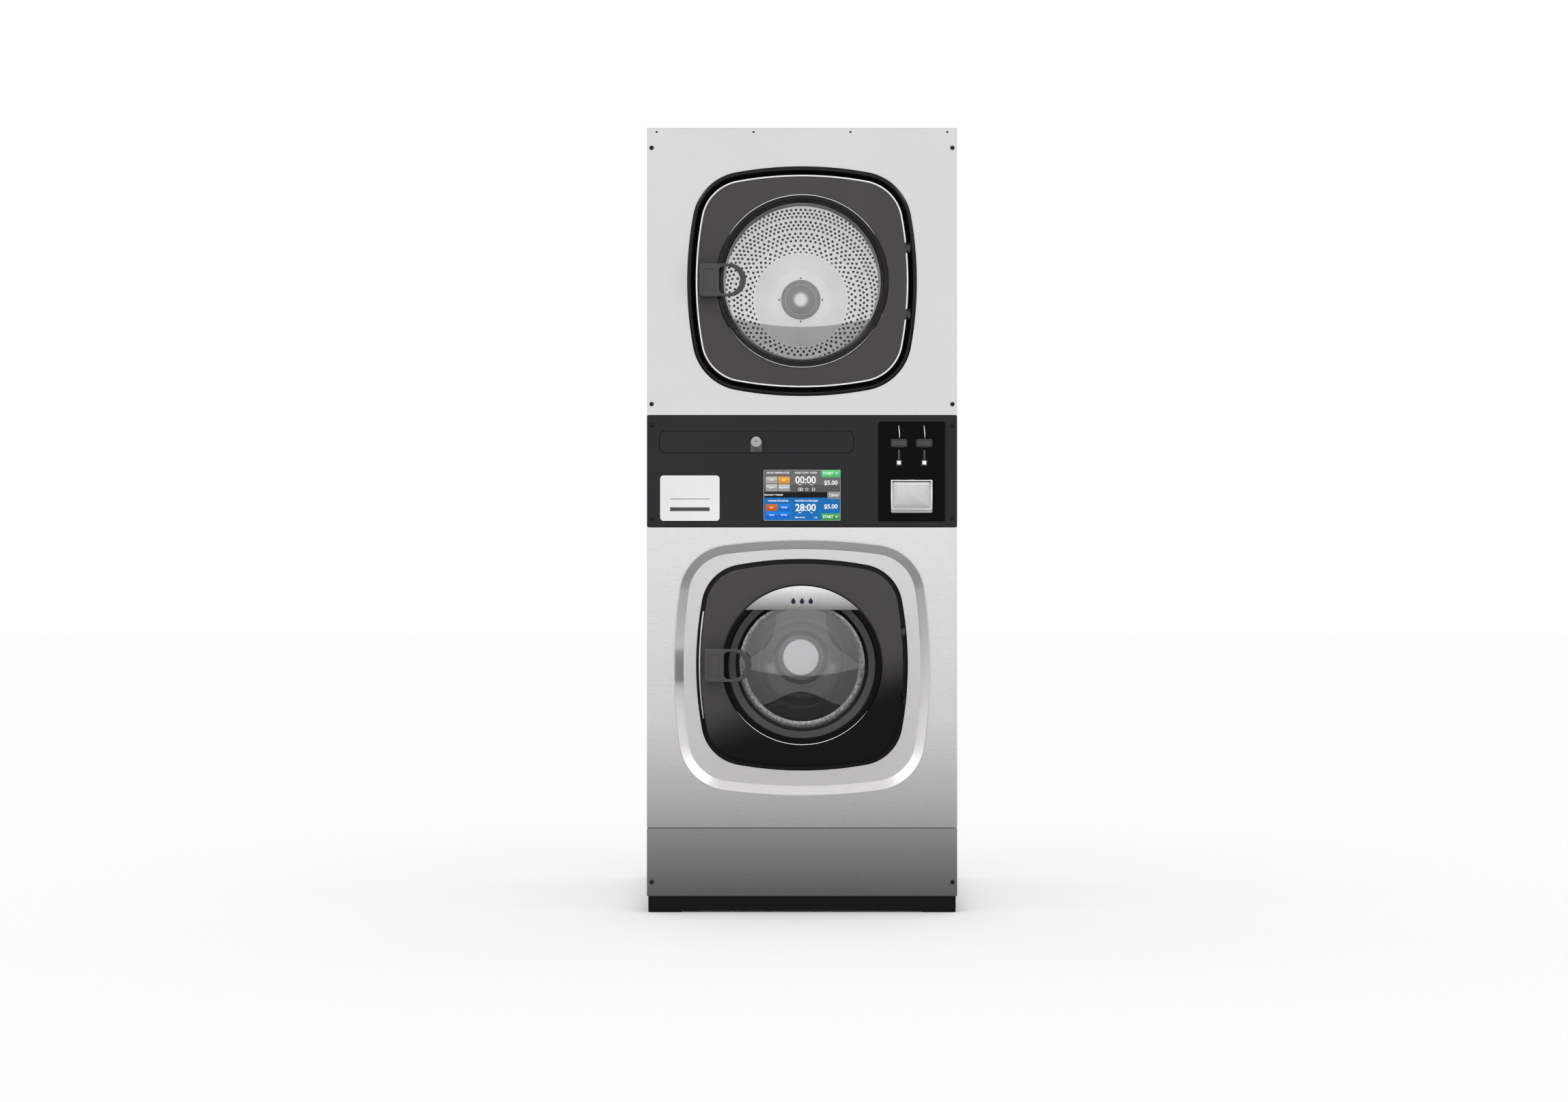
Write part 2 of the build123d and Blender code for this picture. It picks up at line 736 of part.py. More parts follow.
def door_knuckles(x, depth, axis_z, edge_x):
    """Door half of both hinges: a bored knuckle and an arm to the door's side, at each."""
    for z in (axis_z - hinge_spread, axis_z + hinge_spread):
        span = (z - knuckle / 2, z + knuckle / 2)
        upright((x, depth), barrel_r, span)
        block((edge_x, x), (depth, depth + barrel_r), span)
        upright((x, depth), pin_r + pin_clearance, span, mode=Mode.SUBTRACT)


with BuildPart() as door_hinges:
    for side in (-1, 1):
        washer_z = washer_axis_z + side * hinge_spread
        fixed_hinge(washer_hinge_x, washer_hinge_depth, washer_z, well_floor)
    for side in (-1, 1):
        dryer_z = dryer_axis_z + side * hinge_spread
        fixed_hinge(dryer_hinge_x, dryer_hinge_depth, dryer_z, hinge_pocket_depth)
write(door_hinges.part, "door_hinges")


# ---------------------------------------------------------------- door handles
def handle_plate(left, height):
    """Front plate of a handle, with its D-shaped finger opening and a shallow recess."""
    with BuildSketch(facing(-handle_reach, height, left)) as plate:
        with Locations(((handle_length - handle_height / 2) / 2, 0)):
            Rectangle(handle_length - handle_height / 2, handle_height)
        with Locations((handle_length - handle_height / 2, 0)):
            Circle(handle_height / 2)
        fillet(plate.vertices().sort_by(Axis.X)[:2], handle_corner_r)
        with BuildLine():
            top = Line((loop_nose, loop_r), (loop_start, loop_r))
            Line(top @ 1, (loop_start, -loop_r))
            Line((loop_start, -loop_r), (loop_nose, -loop_r))
            ThreePointArc((loop_nose, -loop_r), (loop_end, 0), top @ 0)
        make_face(mode=Mode.SUBTRACT)
        fillet(plate.vertices().sort_by_distance((loop_start, 0))[:2], loop_corner_r)
    extrude(plate.sketch, amount=-handle_thickness)


def handle_details(part, left, height):
    """Ease the front edges and sink the recess."""
    front = part.faces().sort_by(Axis.Y)[0]
    fillet(front.edges(), handle_edge_r)
    recess_x = left + sum(handle_recess) / 2
    recess_width = handle_recess[1] - handle_recess[0]
    recess = rounded(recess_width, handle_recess_height, handle_recess_corner)
    slab(recess, (-handle_reach, handle_recess_depth - handle_reach), height, recess_x, mode=Mode.SUBTRACT)


with BuildPart() as dryer_door_handle:
    handle_plate(dryer_handle_x, dryer_axis_z)
    handle_z = (dryer_axis_z - handle_height / 2, dryer_axis_z + handle_height / 2)
    block_x = (dryer_handle_x, dryer_handle_x + handle_block)
    block(block_x, (-handle_reach + handle_corner_r, dryer_door_face), handle_z)
    handle_details(dryer_door_handle.part, dryer_handle_x, dryer_axis_z)
write(dryer_door_handle.part, "dryer_door_handle")

pivot_x = washer_handle_x + lever_pivot_x
with BuildPart() as washer_door_handle:
    handle_plate(washer_handle_x, washer_axis_z)
    handle_z = (washer_axis_z - handle_height / 2, washer_axis_z + handle_height / 2)
    block_x = (washer_handle_x, washer_handle_x + handle_block)
    block(block_x, (-handle_reach + handle_corner_r, lever_back), handle_z)
    handle_details(washer_door_handle.part, washer_handle_x, washer_axis_z)
    # hollow behind, with a latch arm through the middle
    room_x = (washer_handle_x + lever_wall, washer_handle_x + handle_block - lever_wall)
    room_z = (handle_z[0] + lever_wall, handle_z[1] - lever_wall)
    block(room_x, (-handle_reach + 2 * lever_wall, lever_back), room_z, mode=Mode.SUBTRACT)
    latch_z = (washer_axis_z - latch_height / 2, washer_axis_z + latch_height / 2)
    arm_x = (pivot_x - latch_width / 2, pivot_x + latch_width / 2)
    block(arm_x, (-handle_reach + lever_wall, latch_depths[1]), latch_z)
    tip_x = (-washer_door_half - latch_reach, pivot_x)
    block(tip_x, latch_depths, latch_z)
    upright((pivot_x, lever_pivot_depth), lever_pin_r + pin_clearance, handle_z, mode=Mode.SUBTRACT)
write(washer_door_handle.part, "washer_door_handle")

# ---------------------------------------------------------------- washer door
latch_room_z = (washer_axis_z - latch_height / 2 - 2, washer_axis_z + latch_height / 2 + 2)
latch_room_x = (pivot_x - latch_width / 2 - 2, pivot_x + latch_width / 2 + latch_swing)
with BuildPart() as washer_door_frame:
    face_to_back = (washer_door_face, washer_door_back)
    slab(door_outline(-washer_door_gap), face_to_back, washer_axis_z)
    fillet(washer_door_frame.faces().sort_by(Axis.Y)[0].outer_wire().edges(), door_edge_r)
    inner_depths = (washer_door_face + door_shell, washer_door_back - door_shell)
    slab(door_outline(-washer_door_gap - door_shell), inner_depths, washer_axis_z, mode=Mode.SUBTRACT)
    rod((0, washer_axis_z), washer_ring_r + fit_gap, face_to_back, mode=Mode.SUBTRACT)
    # pedestal with two ears and a pin, on which the lever handle swings
    pedestal_x = (washer_handle_x + 2, washer_handle_x + handle_block - 2)
    pedestal_z = (washer_axis_z - handle_height / 2 + 3, washer_axis_z + handle_height / 2 - 3)
    block(pedestal_x, (pedestal_front, washer_door_face), pedestal_z)
    for side in (-1, 1):
        ear_z = sorted((washer_axis_z + side * lever_ear_low, washer_axis_z + side * lever_ear_high))
        ear_depths = (lever_pivot_depth - lever_ear / 2, pedestal_front)
        block((pivot_x - lever_ear / 2, pivot_x + lever_ear / 2), ear_depths, ear_z)
    slot_depths = (pedestal_front, washer_door_face + door_shell)
    block(latch_room_x, slot_depths, latch_room_z, mode=Mode.SUBTRACT)
    side_x = (-washer_door_half - 1, -washer_door_half + door_shell + 1)
    block(side_x, latch_slot_depths, latch_room_z, mode=Mode.SUBTRACT)
    pin_z = (washer_axis_z - handle_height / 2 + 1, washer_axis_z + handle_height / 2 - 1)
    upright((pivot_x, lever_pivot_depth), lever_pin_r, pin_z)
    edge_x = washer_door_half - hinge_bow - door_shell / 2
    door_knuckles(washer_hinge_x, washer_hinge_depth, washer_axis_z, edge_x)
write(washer_door_frame.part, "washer_door_frame")

with BuildPart() as washer_door_ring:
    # a raised outer ring, a cone down to the glass and a hidden body that reaches the door's back
    turned(
        (
            (washer_door_back, washer_ring_r),
            (washer_door_face - 2, washer_ring_r),
            (washer_door_face - 5, washer_ring_r - 3),
            (washer_door_face - 5, washer_ring_step + 3),
            (washer_door_face - 1, washer_ring_step),
            (bowl_front - 6, washer_ring_in + 1),
            (bowl_front - 4, washer_ring_in),
            (bowl_front - 2, glass_rim_r),
            (bowl_front, glass_rim_r),
            (bowl_front, glass_rim_r + fit_gap),
            (bowl_front + glass_wall, glass_rim_r + fit_gap),
            (bowl_front + glass_wall, glass_rim_r + 6),
            (washer_door_back - door_shell, glass_rim_r + 14),
            (washer_door_back, glass_rim_r + 14),
        ),
        washer_axis_z,
    )
write(washer_door_ring.part, "washer_door_ring")

with BuildPart() as washer_door_glass:
    # a bowl that reaches into the drum's mouth, with a flat clear cover in front of it
    turned(
        (
            (bowl_front, glass_rim_r),
            (bowl_front + glass_wall, glass_rim_r),
            (bowl_front + glass_wall, bowl_mouth_r),
            (bowl_back - 16, bowl_floor_r + 12),
            (bowl_back - 5, bowl_floor_r),
            (bowl_back, bowl_floor_r - 16),
            (bowl_back, 0),
            (bowl_back - glass_wall, 0),
            (bowl_back - glass_wall, bowl_floor_r - 18),
            (bowl_back - 10, bowl_floor_r - 6),
            (bowl_back - 20, bowl_floor_r + 6),
            (bowl_front + 4, bowl_mouth_r - glass_wall),
            (bowl_front, bowl_mouth_r - glass_wall),
        ),
        washer_axis_z,
    )
    cover_depths = (bowl_front - 4, bowl_front)
    rod((0, washer_axis_z), glass_rim_r - 2, cover_depths)
write(washer_door_glass.part, "washer_door_glass")

with BuildPart() as badge_plate:
    # a segment of a disc above a chord, with a raised pill-shaped badge
    with BuildSketch(facing(badge_front, washer_axis_z)):
        Circle(badge_r)
        with Locations((0, badge_chord - badge_r)):
            Rectangle(2 * badge_r, 2 * badge_r, mode=Mode.SUBTRACT)
    extrude(amount=badge_front - badge_back)
    with BuildSketch(facing(badge_front, washer_axis_z + badge_pill_z)):
        SlotOverall(badge_pill_length, badge_pill_height)
    extrude(amount=badge_pill_rise)
write(badge_plate.part, "badge_plate")

# ---------------------------------------------------------------- dryer door
with BuildPart() as dryer_door_frame:
    face_to_back = (dryer_door_face, dryer_door_back)
    slab(door_outline(), face_to_back, dryer_axis_z)
    inner_depths = (dryer_door_face + door_shell, dryer_door_back - door_shell)
    slab(door_outline(-door_shell), inner_depths, dryer_axis_z, mode=Mode.SUBTRACT)
    rod((0, dryer_axis_z), dryer_ring_r + fit_gap, face_to_back, mode=Mode.SUBTRACT)
    edge_x = door_half - hinge_bow - door_shell / 2
    door_knuckles(dryer_hinge_x, dryer_hinge_depth, dryer_axis_z, edge_x)
write(dryer_door_frame.part, "dryer_door_frame")

with BuildPart() as dryer_door_trim:
    # thin bright strip along the edge of the door's face
    trim_depths = (dryer_door_face - trim_rise, dryer_door_face)
    slab(door_outline(), trim_depths, dryer_axis_z)
    slab(door_outline(-trim_width), trim_depths, dryer_axis_z, mode=Mode.SUBTRACT)
    for side in (-1, 1):
        trim_z = dryer_axis_z + side * hinge_spread
        notch_z = (trim_z - pocket_half, trim_z + pocket_half)
        notch_x = (door_half - hinge_bow - 2 * trim_width, door_half + 1)
        block(notch_x, trim_depths, notch_z, mode=Mode.SUBTRACT)
write(dryer_door_trim.part, "dryer_door_trim")

glass_back = dryer_glass_depth + glass_wall
with BuildPart() as dryer_door_ring:
    # a rim, a bead and a long cone down to the glass
    turned(
        (
            (dryer_door_back, dryer_ring_r),
            (dryer_door_face - 1, dryer_ring_r),
            (dryer_door_face - 3, dryer_ring_r - 2),
            (dryer_door_face - 3, dryer_ring_r - 11),
            (dryer_door_face, dryer_ring_r - 13),
            (dryer_door_face, dryer_ring_r - 15),
            (dryer_door_face + 6, dryer_ring_r - 18),
            (dryer_door_face + 7, dryer_ring_r - 20),
            (dryer_glass_depth - 2, dryer_glass_r - 3),
            (dryer_glass_depth, dryer_glass_r - 3),
            (dryer_glass_depth, dryer_glass_r + fit_gap),
            (glass_back, dryer_glass_r + fit_gap),
            (glass_back, dryer_glass_r + 4),
            (dryer_door_back, dryer_glass_r + 9),
        ),
        dryer_axis_z,
    )
write(dryer_door_ring.part, "dryer_door_ring")

with BuildPart() as dryer_door_glass:
    # pane domed towards the user, with a flat rim
    with BuildSketch(Plane((0, front_y, dryer_axis_z), x_dir=(0, 1, 0), z_dir=(1, 0, 0))):
        with BuildLine():
            rim_in = dryer_glass_r - 6
            Line((glass_back, 0), (glass_back, dryer_glass_r))
            Line((glass_back, dryer_glass_r), (dryer_glass_depth, dryer_glass_r))
            Line((dryer_glass_depth, dryer_glass_r), (dryer_glass_depth, rim_in))
            crown = dryer_glass_depth - dryer_glass_rise
            dome_r = (rim_in**2 + dryer_glass_rise**2) / (2 * dryer_glass_rise)
            RadiusArc((dryer_glass_depth, rim_in), (crown, 0), -dome_r)
            Line((crown, 0), (glass_back, 0))
        make_face()
    revolve(axis=Axis((0, front_y, dryer_axis_z), (0, 1, 0)))
    inner_r = rim_in - glass_wall
    turned(
        (
            (glass_back, 0),
            (glass_back, inner_r),
            (dryer_glass_depth, inner_r),
            (crown + glass_wall + 4, inner_r * 0.6),
            (crown + glass_wall, inner_r * 0.2),
            (crown + glass_wall, 0),
        ),
        dryer_axis_z,
        mode=Mode.SUBTRACT,
    )
write(dryer_door_glass.part, "dryer_door_glass")

with BuildPart() as dryer_door_seal:
    # lip seal round the ring, which closes against the floor of the bezel's well
    turned(
        (
            (dryer_door_back, dryer_ring_r + 2),
            (dryer_door_back, dryer_ring_r + 14),
            (dryer_door_back + 8, dryer_ring_r + 14),
            (floor_depth - 1.5, dryer_ring_r + 31),
            (floor_depth - 1.5, dryer_ring_r + 28),
            (dryer_door_back + 8, dryer_ring_r + 6),
            (dryer_door_back + 4, dryer_ring_r + 2),
        ),
        dryer_axis_z,
    )
write(dryer_door_seal.part, "dryer_door_seal")

# ---------------------------------------------------------------- washer: tub, drum and drive
shaft_hole = washer_shaft_r + hole_clearance
with BuildPart() as washer_tub:
    rod((0, washer_axis_z), tub_r, (tub_front, tub_back))
    tub_inside = (tub_front + tub_wall, tub_back - tub_wall)
    rod((0, washer_axis_z), tub_r - tub_wall, tub_inside, mode=Mode.SUBTRACT)
    rod((0, washer_axis_z), mouth_r - 6, (tub_front, tub_front + tub_wall), mode=Mode.SUBTRACT)
    rod((0, washer_axis_z), shaft_hole, (tub_back - tub_wall, tub_back), mode=Mode.SUBTRACT)
write(washer_tub.part, "washer_tub")


def drum_shell(axis_z, radius, mouth, depths):
    """Drum with a front ring and a flat back plate."""
    rod((0, axis_z), radius, depths)
    inner_depths = (depths[0] + drum_wall, depths[1] - drum_wall)
    rod((0, axis_z), radius - drum_wall, inner_depths, mode=Mode.SUBTRACT)
    rod((0, axis_z), mouth, (depths[0], inner_depths[0]), mode=Mode.SUBTRACT)


def lifters(axis_z, radius, height, base, crest, depths):
    """Three hollow ribs inside a drum, one of them at the bottom."""
    for turn in range(3):
        corners = [(-base / 2, -radius), (-crest / 2, height - radius)]
        corners += [(crest / 2, height - radius), (base / 2, -radius)]
        with BuildSketch(facing(depths[0], axis_z)) as rib:
            with BuildLine():
                ring = [Vector(x, z).rotate(Axis.Z, 120 * turn) for x, z in corners]
                Polyline(*ring, close=True)
            make_face()
            Circle(radius, mode=Mode.INTERSECT)
            fillet(rib.vertices().sort_by_distance((0, 0))[:2], crest / 4)
            offset(amount=-2 * drum_wall, mode=Mode.SUBTRACT)
        extrude(rib.sketch, amount=depths[0] - depths[1])


washer_drum_depths = (washer_drum_front, washer_drum_back)
with BuildPart() as washer_drum:
    drum_shell(washer_axis_z, washer_drum_r, washer_drum_mouth, washer_drum_depths)
    # hub cap on the back plate
    cap_back = washer_drum_back - drum_wall
    turned(
        (
            (cap_back, 0),
            (cap_back, washer_cap_r),
            (cap_back - washer_cap_height / 2, washer_cap_r),
            (cap_back - washer_cap_height, washer_cap_r - washer_cap_height / 2),
            (cap_back - washer_cap_height, 0),
        ),
        washer_axis_z,
    )
write(washer_drum.part, "washer_drum")

with BuildPart() as washer_drum_lifters:
    lifter_depths = (washer_drum_front + 30, washer_drum_back - 20)
    lifters(
        washer_axis_z,
        washer_drum_r - drum_wall,
        washer_lifter_height,
        washer_lifter_base,
        washer_lifter_top,
        lifter_depths,
    )
write(washer_drum_lifters.part, "washer_drum_lifters")


def drive_pulley(place, radius, depth, shaft_r):
    """Flat-belt pulley with a rim, a web with five holes and a hub."""
    rim = (depth - pulley_width / 2, depth + pulley_width / 2)
    web = (depth - pulley_web / 2, depth + pulley_web / 2)
    rod(place, radius, rim)
    rod(place, radius - 1.5 * pulley_web, (rim[0], web[0]), mode=Mode.SUBTRACT)
    rod(place, radius - 1.5 * pulley_web, (web[1], rim[1]), mode=Mode.SUBTRACT)
    rod(place, 2 * shaft_r, rim)
    hole_r = (radius - 1.5 * pulley_web - 2 * shaft_r) * 0.4
    with BuildSketch(facing(web[0], place[1], place[0])) as holes:
        with PolarLocations((radius - 1.5 * pulley_web + 2 * shaft_r) / 2, 5):
            Circle(hole_r)
    extrude(holes.sketch, amount=-pulley_web, mode=Mode.SUBTRACT)


with BuildPart() as washer_drum_shaft:
    drive_pulley((0, washer_axis_z), washer_pulley_r, washer_pulley_depth, washer_shaft_r)
    shaft_end = washer_pulley_depth + pulley_width / 2
    rod((0, washer_axis_z), washer_shaft_r, (washer_drum_back, shaft_end))
write(washer_drum_shaft.part, "washer_drum_shaft")

dryer_drum_depths = (dryer_drum_front, dryer_drum_back)
hub_front = dryer_drum_back - drum_wall - dryer_cone_height
with BuildPart() as dryer_drum:
    drum_shell(dryer_axis_z, dryer_drum_r, dryer_drum_mouth, dryer_drum_depths)
    # the back plate rises in a smooth cone to a flat hub disc with a domed cap
    turned(
        (
            (dryer_drum_back, 0),
            (dryer_drum_back, dryer_cone_r),
            (dryer_drum_back - drum_wall, dryer_cone_r),
            (hub_front, dryer_hub_r),
            (hub_front, dryer_cap_r),
            (hub_front - dryer_cap_height / 2, dryer_cap_r),
            (hub_front - dryer_cap_height, dryer_cap_r - dryer_cap_height),
            (hub_front - dryer_cap_height, 0),
        ),
        dryer_axis_z,
    )
write(dryer_drum.part, "dryer_drum")

with BuildPart() as dryer_drum_lifters:
    lifter_depths = (dryer_drum_front + 20, dryer_drum_back - 20)
    lifters(
        dryer_axis_z,
        dryer_drum_r - drum_wall,
        dryer_lifter_height,
        dryer_lifter_base,
        dryer_lifter_top,
        lifter_depths,
    )
write(dryer_drum_lifters.part, "dryer_drum_lifters")

with BuildPart() as dryer_drum_shaft:
    drive_pulley((0, dryer_axis_z), dryer_pulley_r, dryer_pulley_depth, dryer_shaft_r)
    shaft_end = dryer_pulley_depth + pulley_width / 2
    rod((0, dryer_axis_z), dryer_shaft_r, (dryer_drum_back, shaft_end))
write(dryer_drum_shaft.part, "dryer_drum_shaft")

with BuildPart() as dryer_tub:
    shroud_depths = (shroud_front, shroud_back)
    rod((0, dryer_axis_z), shroud_r, shroud_depths)
    inner_depths = (shroud_front + shroud_wall, shroud_back - shroud_wall)
    rod((0, dryer_axis_z), shroud_r - shroud_wall, inner_depths, mode=Mode.SUBTRACT)
    rod((0, dryer_axis_z), shroud_mouth_r, (shroud_front, inner_depths[0]), mode=Mode.SUBTRACT)
    shaft_hole = dryer_shaft_r + hole_clearance
    rod((0, dryer_axis_z), shaft_hole, (inner_depths[1], shroud_back), mode=Mode.SUBTRACT)
write(dryer_tub.part, "dryer_tub")

with BuildPart() as bearing_housings:
    for axis_z, front, back, boss_r, flange_r, shaft_r in (
        (washer_axis_z, tub_back, washer_bearing_back, washer_bearing_r, washer_flange_r, washer_shaft_r),
        (dryer_axis_z, shroud_back, dryer_bearing_back, dryer_bearing_r, dryer_flange_r, dryer_shaft_r),
    ):
        rod((0, axis_z), flange_r, (front, front + flange_sheet))
        rod((0, axis_z), boss_r, (front, back))
        with BuildSketch(facing(front, axis_z)):
            with PolarLocations((flange_r + boss_r) / 2, 6):
                Circle((flange_r - boss_r) / 4)
        extrude(amount=-flange_sheet, mode=Mode.SUBTRACT)
        rod((0, axis_z), shaft_r + bearing_clearance, (front, back), mode=Mode.SUBTRACT)
write(bearing_housings.part, "bearing_housings")

washer_pulley_front = washer_pulley_depth - pulley_width / 2
dryer_pulley_back = dryer_pulley_depth + pulley_width / 2
for label, place, radius, depth, shaft_depths in (
    (
        "washer_motor_pulley",
        (washer_motor_x, washer_motor_z),
        washer_motor_pulley_r,
        washer_pulley_depth,
        (washer_pulley_front - motor_gap / 2, washer_pulley_front),
    ),
    (
        "dryer_motor_pulley",
        (dryer_motor_x, dryer_motor_z),
        dryer_motor_pulley_r,
        dryer_pulley_depth,
        (dryer_pulley_back, dryer_pulley_back + motor_gap / 2),
    ),
):
    with BuildPart() as motor_pulley:
        rod(place, radius, (depth - pulley_width / 2, depth + pulley_width / 2))
        rod(place, motor_shaft_r, shaft_depths)
        dish = (depth - pulley_width / 2, depth - pulley_width / 4)
        rod(place, radius - pulley_web, dish, mode=Mode.SUBTRACT)
        rod(place, motor_shaft_r, (depth - pulley_width / 2, depth))
    write(motor_pulley.part, label)

with BuildPart() as drive_motors:
    # washer motor on a plate that spans to the base rail
    motor_back = washer_pulley_front - motor_gap
    rod((washer_motor_x, washer_motor_z), washer_motor_r, (washer_motor_front, motor_back))
    plate_x = (washer_motor_x - 0.7 * washer_motor_r, base_half)
    block(plate_x, (washer_motor_front + 40, motor_back - 60), (base_height, base_height + 8))
    feet_x = (washer_motor_x - 0.6 * washer_motor_r, washer_motor_x + 0.6 * washer_motor_r)
    feet_z = (base_height + 8, washer_motor_z - washer_motor_r / 2)
    block(feet_x, (washer_motor_front + 40, motor_back - 60), feet_z)
    # dryer motor on its rail
    motor_front = dryer_pulley_back + motor_gap
    rod((dryer_motor_x, dryer_motor_z), dryer_motor_r, (motor_front, dryer_motor_back))
    feet_x = (dryer_motor_x - dryer_motor_r / 2, dryer_motor_x + dryer_motor_r / 2)
    feet_depths = (motor_rail_depth - post / 2, motor_rail_depth + post / 2)
    block(feet_x, feet_depths, (motor_rail_top, dryer_motor_z))
    # blower motor on a cross plate bolted to the blower housing's front
    rod((blower_x, blower_z), blower_motor_r, (blower_motor_front, blower_front - 15))
    plate_x = (blower_x - blower_r + 10, blower_x + blower_r - 10)
    block(plate_x, (blower_front - 25, blower_front - 15), (blower_z - 15, blower_z + 15))
    for side in (-1, 1):
        stand_x = blower_x + side * (blower_r - 20)
        rod((stand_x, blower_z), 8, (blower_front - 20, blower_front))
write(drive_motors.part, "drive_motors")

with BuildPart() as drive_belts:
    for drum_z, drum_r, place, motor_r, depth in (
        (
            washer_axis_z,
            washer_pulley_r,
            (washer_motor_x, washer_motor_z),
            washer_motor_pulley_r,
            washer_pulley_depth,
        ),
        (
            dryer_axis_z,
            dryer_pulley_r,
            (dryer_motor_x, dryer_motor_z),
            dryer_motor_pulley_r,
            dryer_pulley_depth,
        ),
    ):
        for growth, mode in ((belt_clearance + belt_thickness, Mode.ADD), (belt_clearance, Mode.SUBTRACT)):
            with BuildSketch() as loop:
                with Locations((0, drum_z)):
                    Circle(drum_r + growth)
                with Locations(place):
                    Circle(motor_r + growth)
                make_hull(loop.sketch.edges())
            slab(loop.sketch, (depth - pulley_width / 2, depth + pulley_width / 2), mode=mode)
write(drive_belts.part, "drive_belts")

with BuildPart() as heater_box:
    # sheet-metal air box on the shroud's back, open at the top rear for fresh air
    box_x = (-heater_width / 2, heater_width / 2)
    block(box_x, (shroud_back, heater_back), heater_z)
    inner_x = (box_x[0] + duct_sheet, box_x[1] - duct_sheet)
    inner_z = (heater_z[0] + duct_sheet, heater_z[1] - duct_sheet)
    block(inner_x, (shroud_back + duct_sheet, heater_back), inner_z, mode=Mode.SUBTRACT)
    # three heating tubes across the box
    middle_z = sum(heater_z) / 2
    for place in (-1, 0, 1):
        tube_plane = Plane((inner_x[0], front_y + 860 + 40 * place, middle_z), z_dir=(1, 0, 0))
        with BuildSketch(tube_plane):
            Circle(8)
        extrude(amount=inner_x[1] - inner_x[0])
write(heater_box.part, "heater_box")

with BuildPart() as blower_housing:
    centre = (blower_x, blower_z)
    rod(centre, blower_r, (blower_front, blower_back))
    block((blower_x - 60, blower_x + 60), (blower_front, blower_back), (deck_top, blower_z))
    rod(centre, collar_r + collar_wall, (blower_back, cabinet_depth + collar_step))
    rod(centre, collar_r, (blower_back, cabinet_depth + collar_reach))
    blower_inside = (blower_front + duct_sheet, blower_back - duct_sheet)
    rod(centre, blower_r - duct_sheet, blower_inside, mode=Mode.SUBTRACT)
    rod(centre, blower_inlet_r, (blower_front, blower_front + duct_sheet), mode=Mode.SUBTRACT)
    collar_bore = (blower_back - duct_sheet, cabinet_depth + collar_reach)
    rod(centre, collar_r - collar_wall, collar_bore, mode=Mode.SUBTRACT)
write(blower_housing.part, "blower_housing")

with BuildPart() as blower_wheel:
    centre = (blower_x, blower_z)
    wheel_front = blower_front + 3 * duct_sheet
    wheel_back = blower_back - 6 * duct_sheet
    rod(centre, blower_wheel_r, (wheel_back - blower_blade, wheel_back))
    rod(centre, blower_motor_r / 5, (blower_front - 13, wheel_back))
    with BuildSketch(facing(wheel_front, blower_z, blower_x)):
        with PolarLocations(0.8 * blower_wheel_r, blower_blades):
            Rectangle(0.3 * blower_wheel_r, blower_blade)
    extrude(amount=wheel_front - wheel_back)
write(blower_wheel.part, "blower_wheel")

# ---------------------------------------------------------------- services at the rear
with BuildPart() as water_inlet_valves:
    for x in inlet_x:
        block((x - 32, x + 32), (rear_inner - 6, rear_inner), (inlet_z - 32, inlet_z + 32))
        block((x - 18, x + 18), (rear_inner - 60, rear_inner - 6), (inlet_z - 22, inlet_z + 30))
        rod((x, inlet_z), inlet_r, (rear_inner - 10, cabinet_depth + inlet_reach))
        rod((x, inlet_z), inlet_bore_r, (rear_inner - 10, cabinet_depth + inlet_reach), mode=Mode.SUBTRACT)
write(water_inlet_valves.part, "water_inlet_valves")

with BuildPart() as drain_valve:
    # sump pipe under the tub, valve body, and outlet pipe through the rear panel
    upright((drain_x, drain_valve_depth), drain_r - 6, (drain_z, washer_axis_z))
    under_tub = (drain_valve_depth - 2 * drain_r, drain_valve_depth + 2 * drain_r)
    rod((0, washer_axis_z), tub_r, under_tub, mode=Mode.SUBTRACT)
    valve_depths = (drain_valve_depth - 60, drain_valve_depth + 60)
    block((drain_x - 45, drain_x + 45), valve_depths, (drain_z - 45, drain_z + 50))
    outlet_depths = (drain_valve_depth + 60, cabinet_depth + drain_reach)
    rod((drain_x, drain_z), drain_r, outlet_depths)
    rod((drain_x, drain_z), drain_r + drain_wall / 2, (outlet_depths[0], cabinet_depth + collar_step))
    rod((drain_x, drain_z), drain_r - drain_wall, outlet_depths, mode=Mode.SUBTRACT)
upper_pieces = drain_valve.part.solids().filter_by_position(Axis.Z, 0, washer_axis_z - tub_r / 2)
write(Compound(upper_pieces), "drain_valve")

with BuildPart() as terminal_box:
    box_x = (terminal_x - terminal_width / 2, terminal_x + terminal_width / 2)
    box_z = (terminal_z - terminal_height / 2, terminal_z + terminal_height / 2)
    block(box_x, (rear_inner - terminal_depth, rear_inner), box_z)
    rod((terminal_x, gland_z), gland_r, (rear_inner - 5, cabinet_depth + gland_reach))
    with BuildSketch(facing(cabinet_depth + 2, gland_z, terminal_x)):
        RegularPolygon(gland_nut_r, 6)
    extrude(amount=-gland_nut)
    bore_depths = (cabinet_depth + gland_reach - gland_bore_length, cabinet_depth + gland_reach)
    rod((terminal_x, gland_z), gland_bore_r, bore_depths, mode=Mode.SUBTRACT)
write(terminal_box.part, "terminal_box")

with BuildPart() as washer_door_lock:
    # lock body behind the washer's front panel, beside the latch tip
    lock_out = door_half + bezel_band_width + 2
    lock_body_x = (-lock_out - 26, -door_half - 1)
    block(lock_body_x, (bezel_depth + bezel_sheet + 4, well_depth), (washer_axis_z - 40, washer_axis_z + 40))
write(washer_door_lock.part, "washer_door_lock")

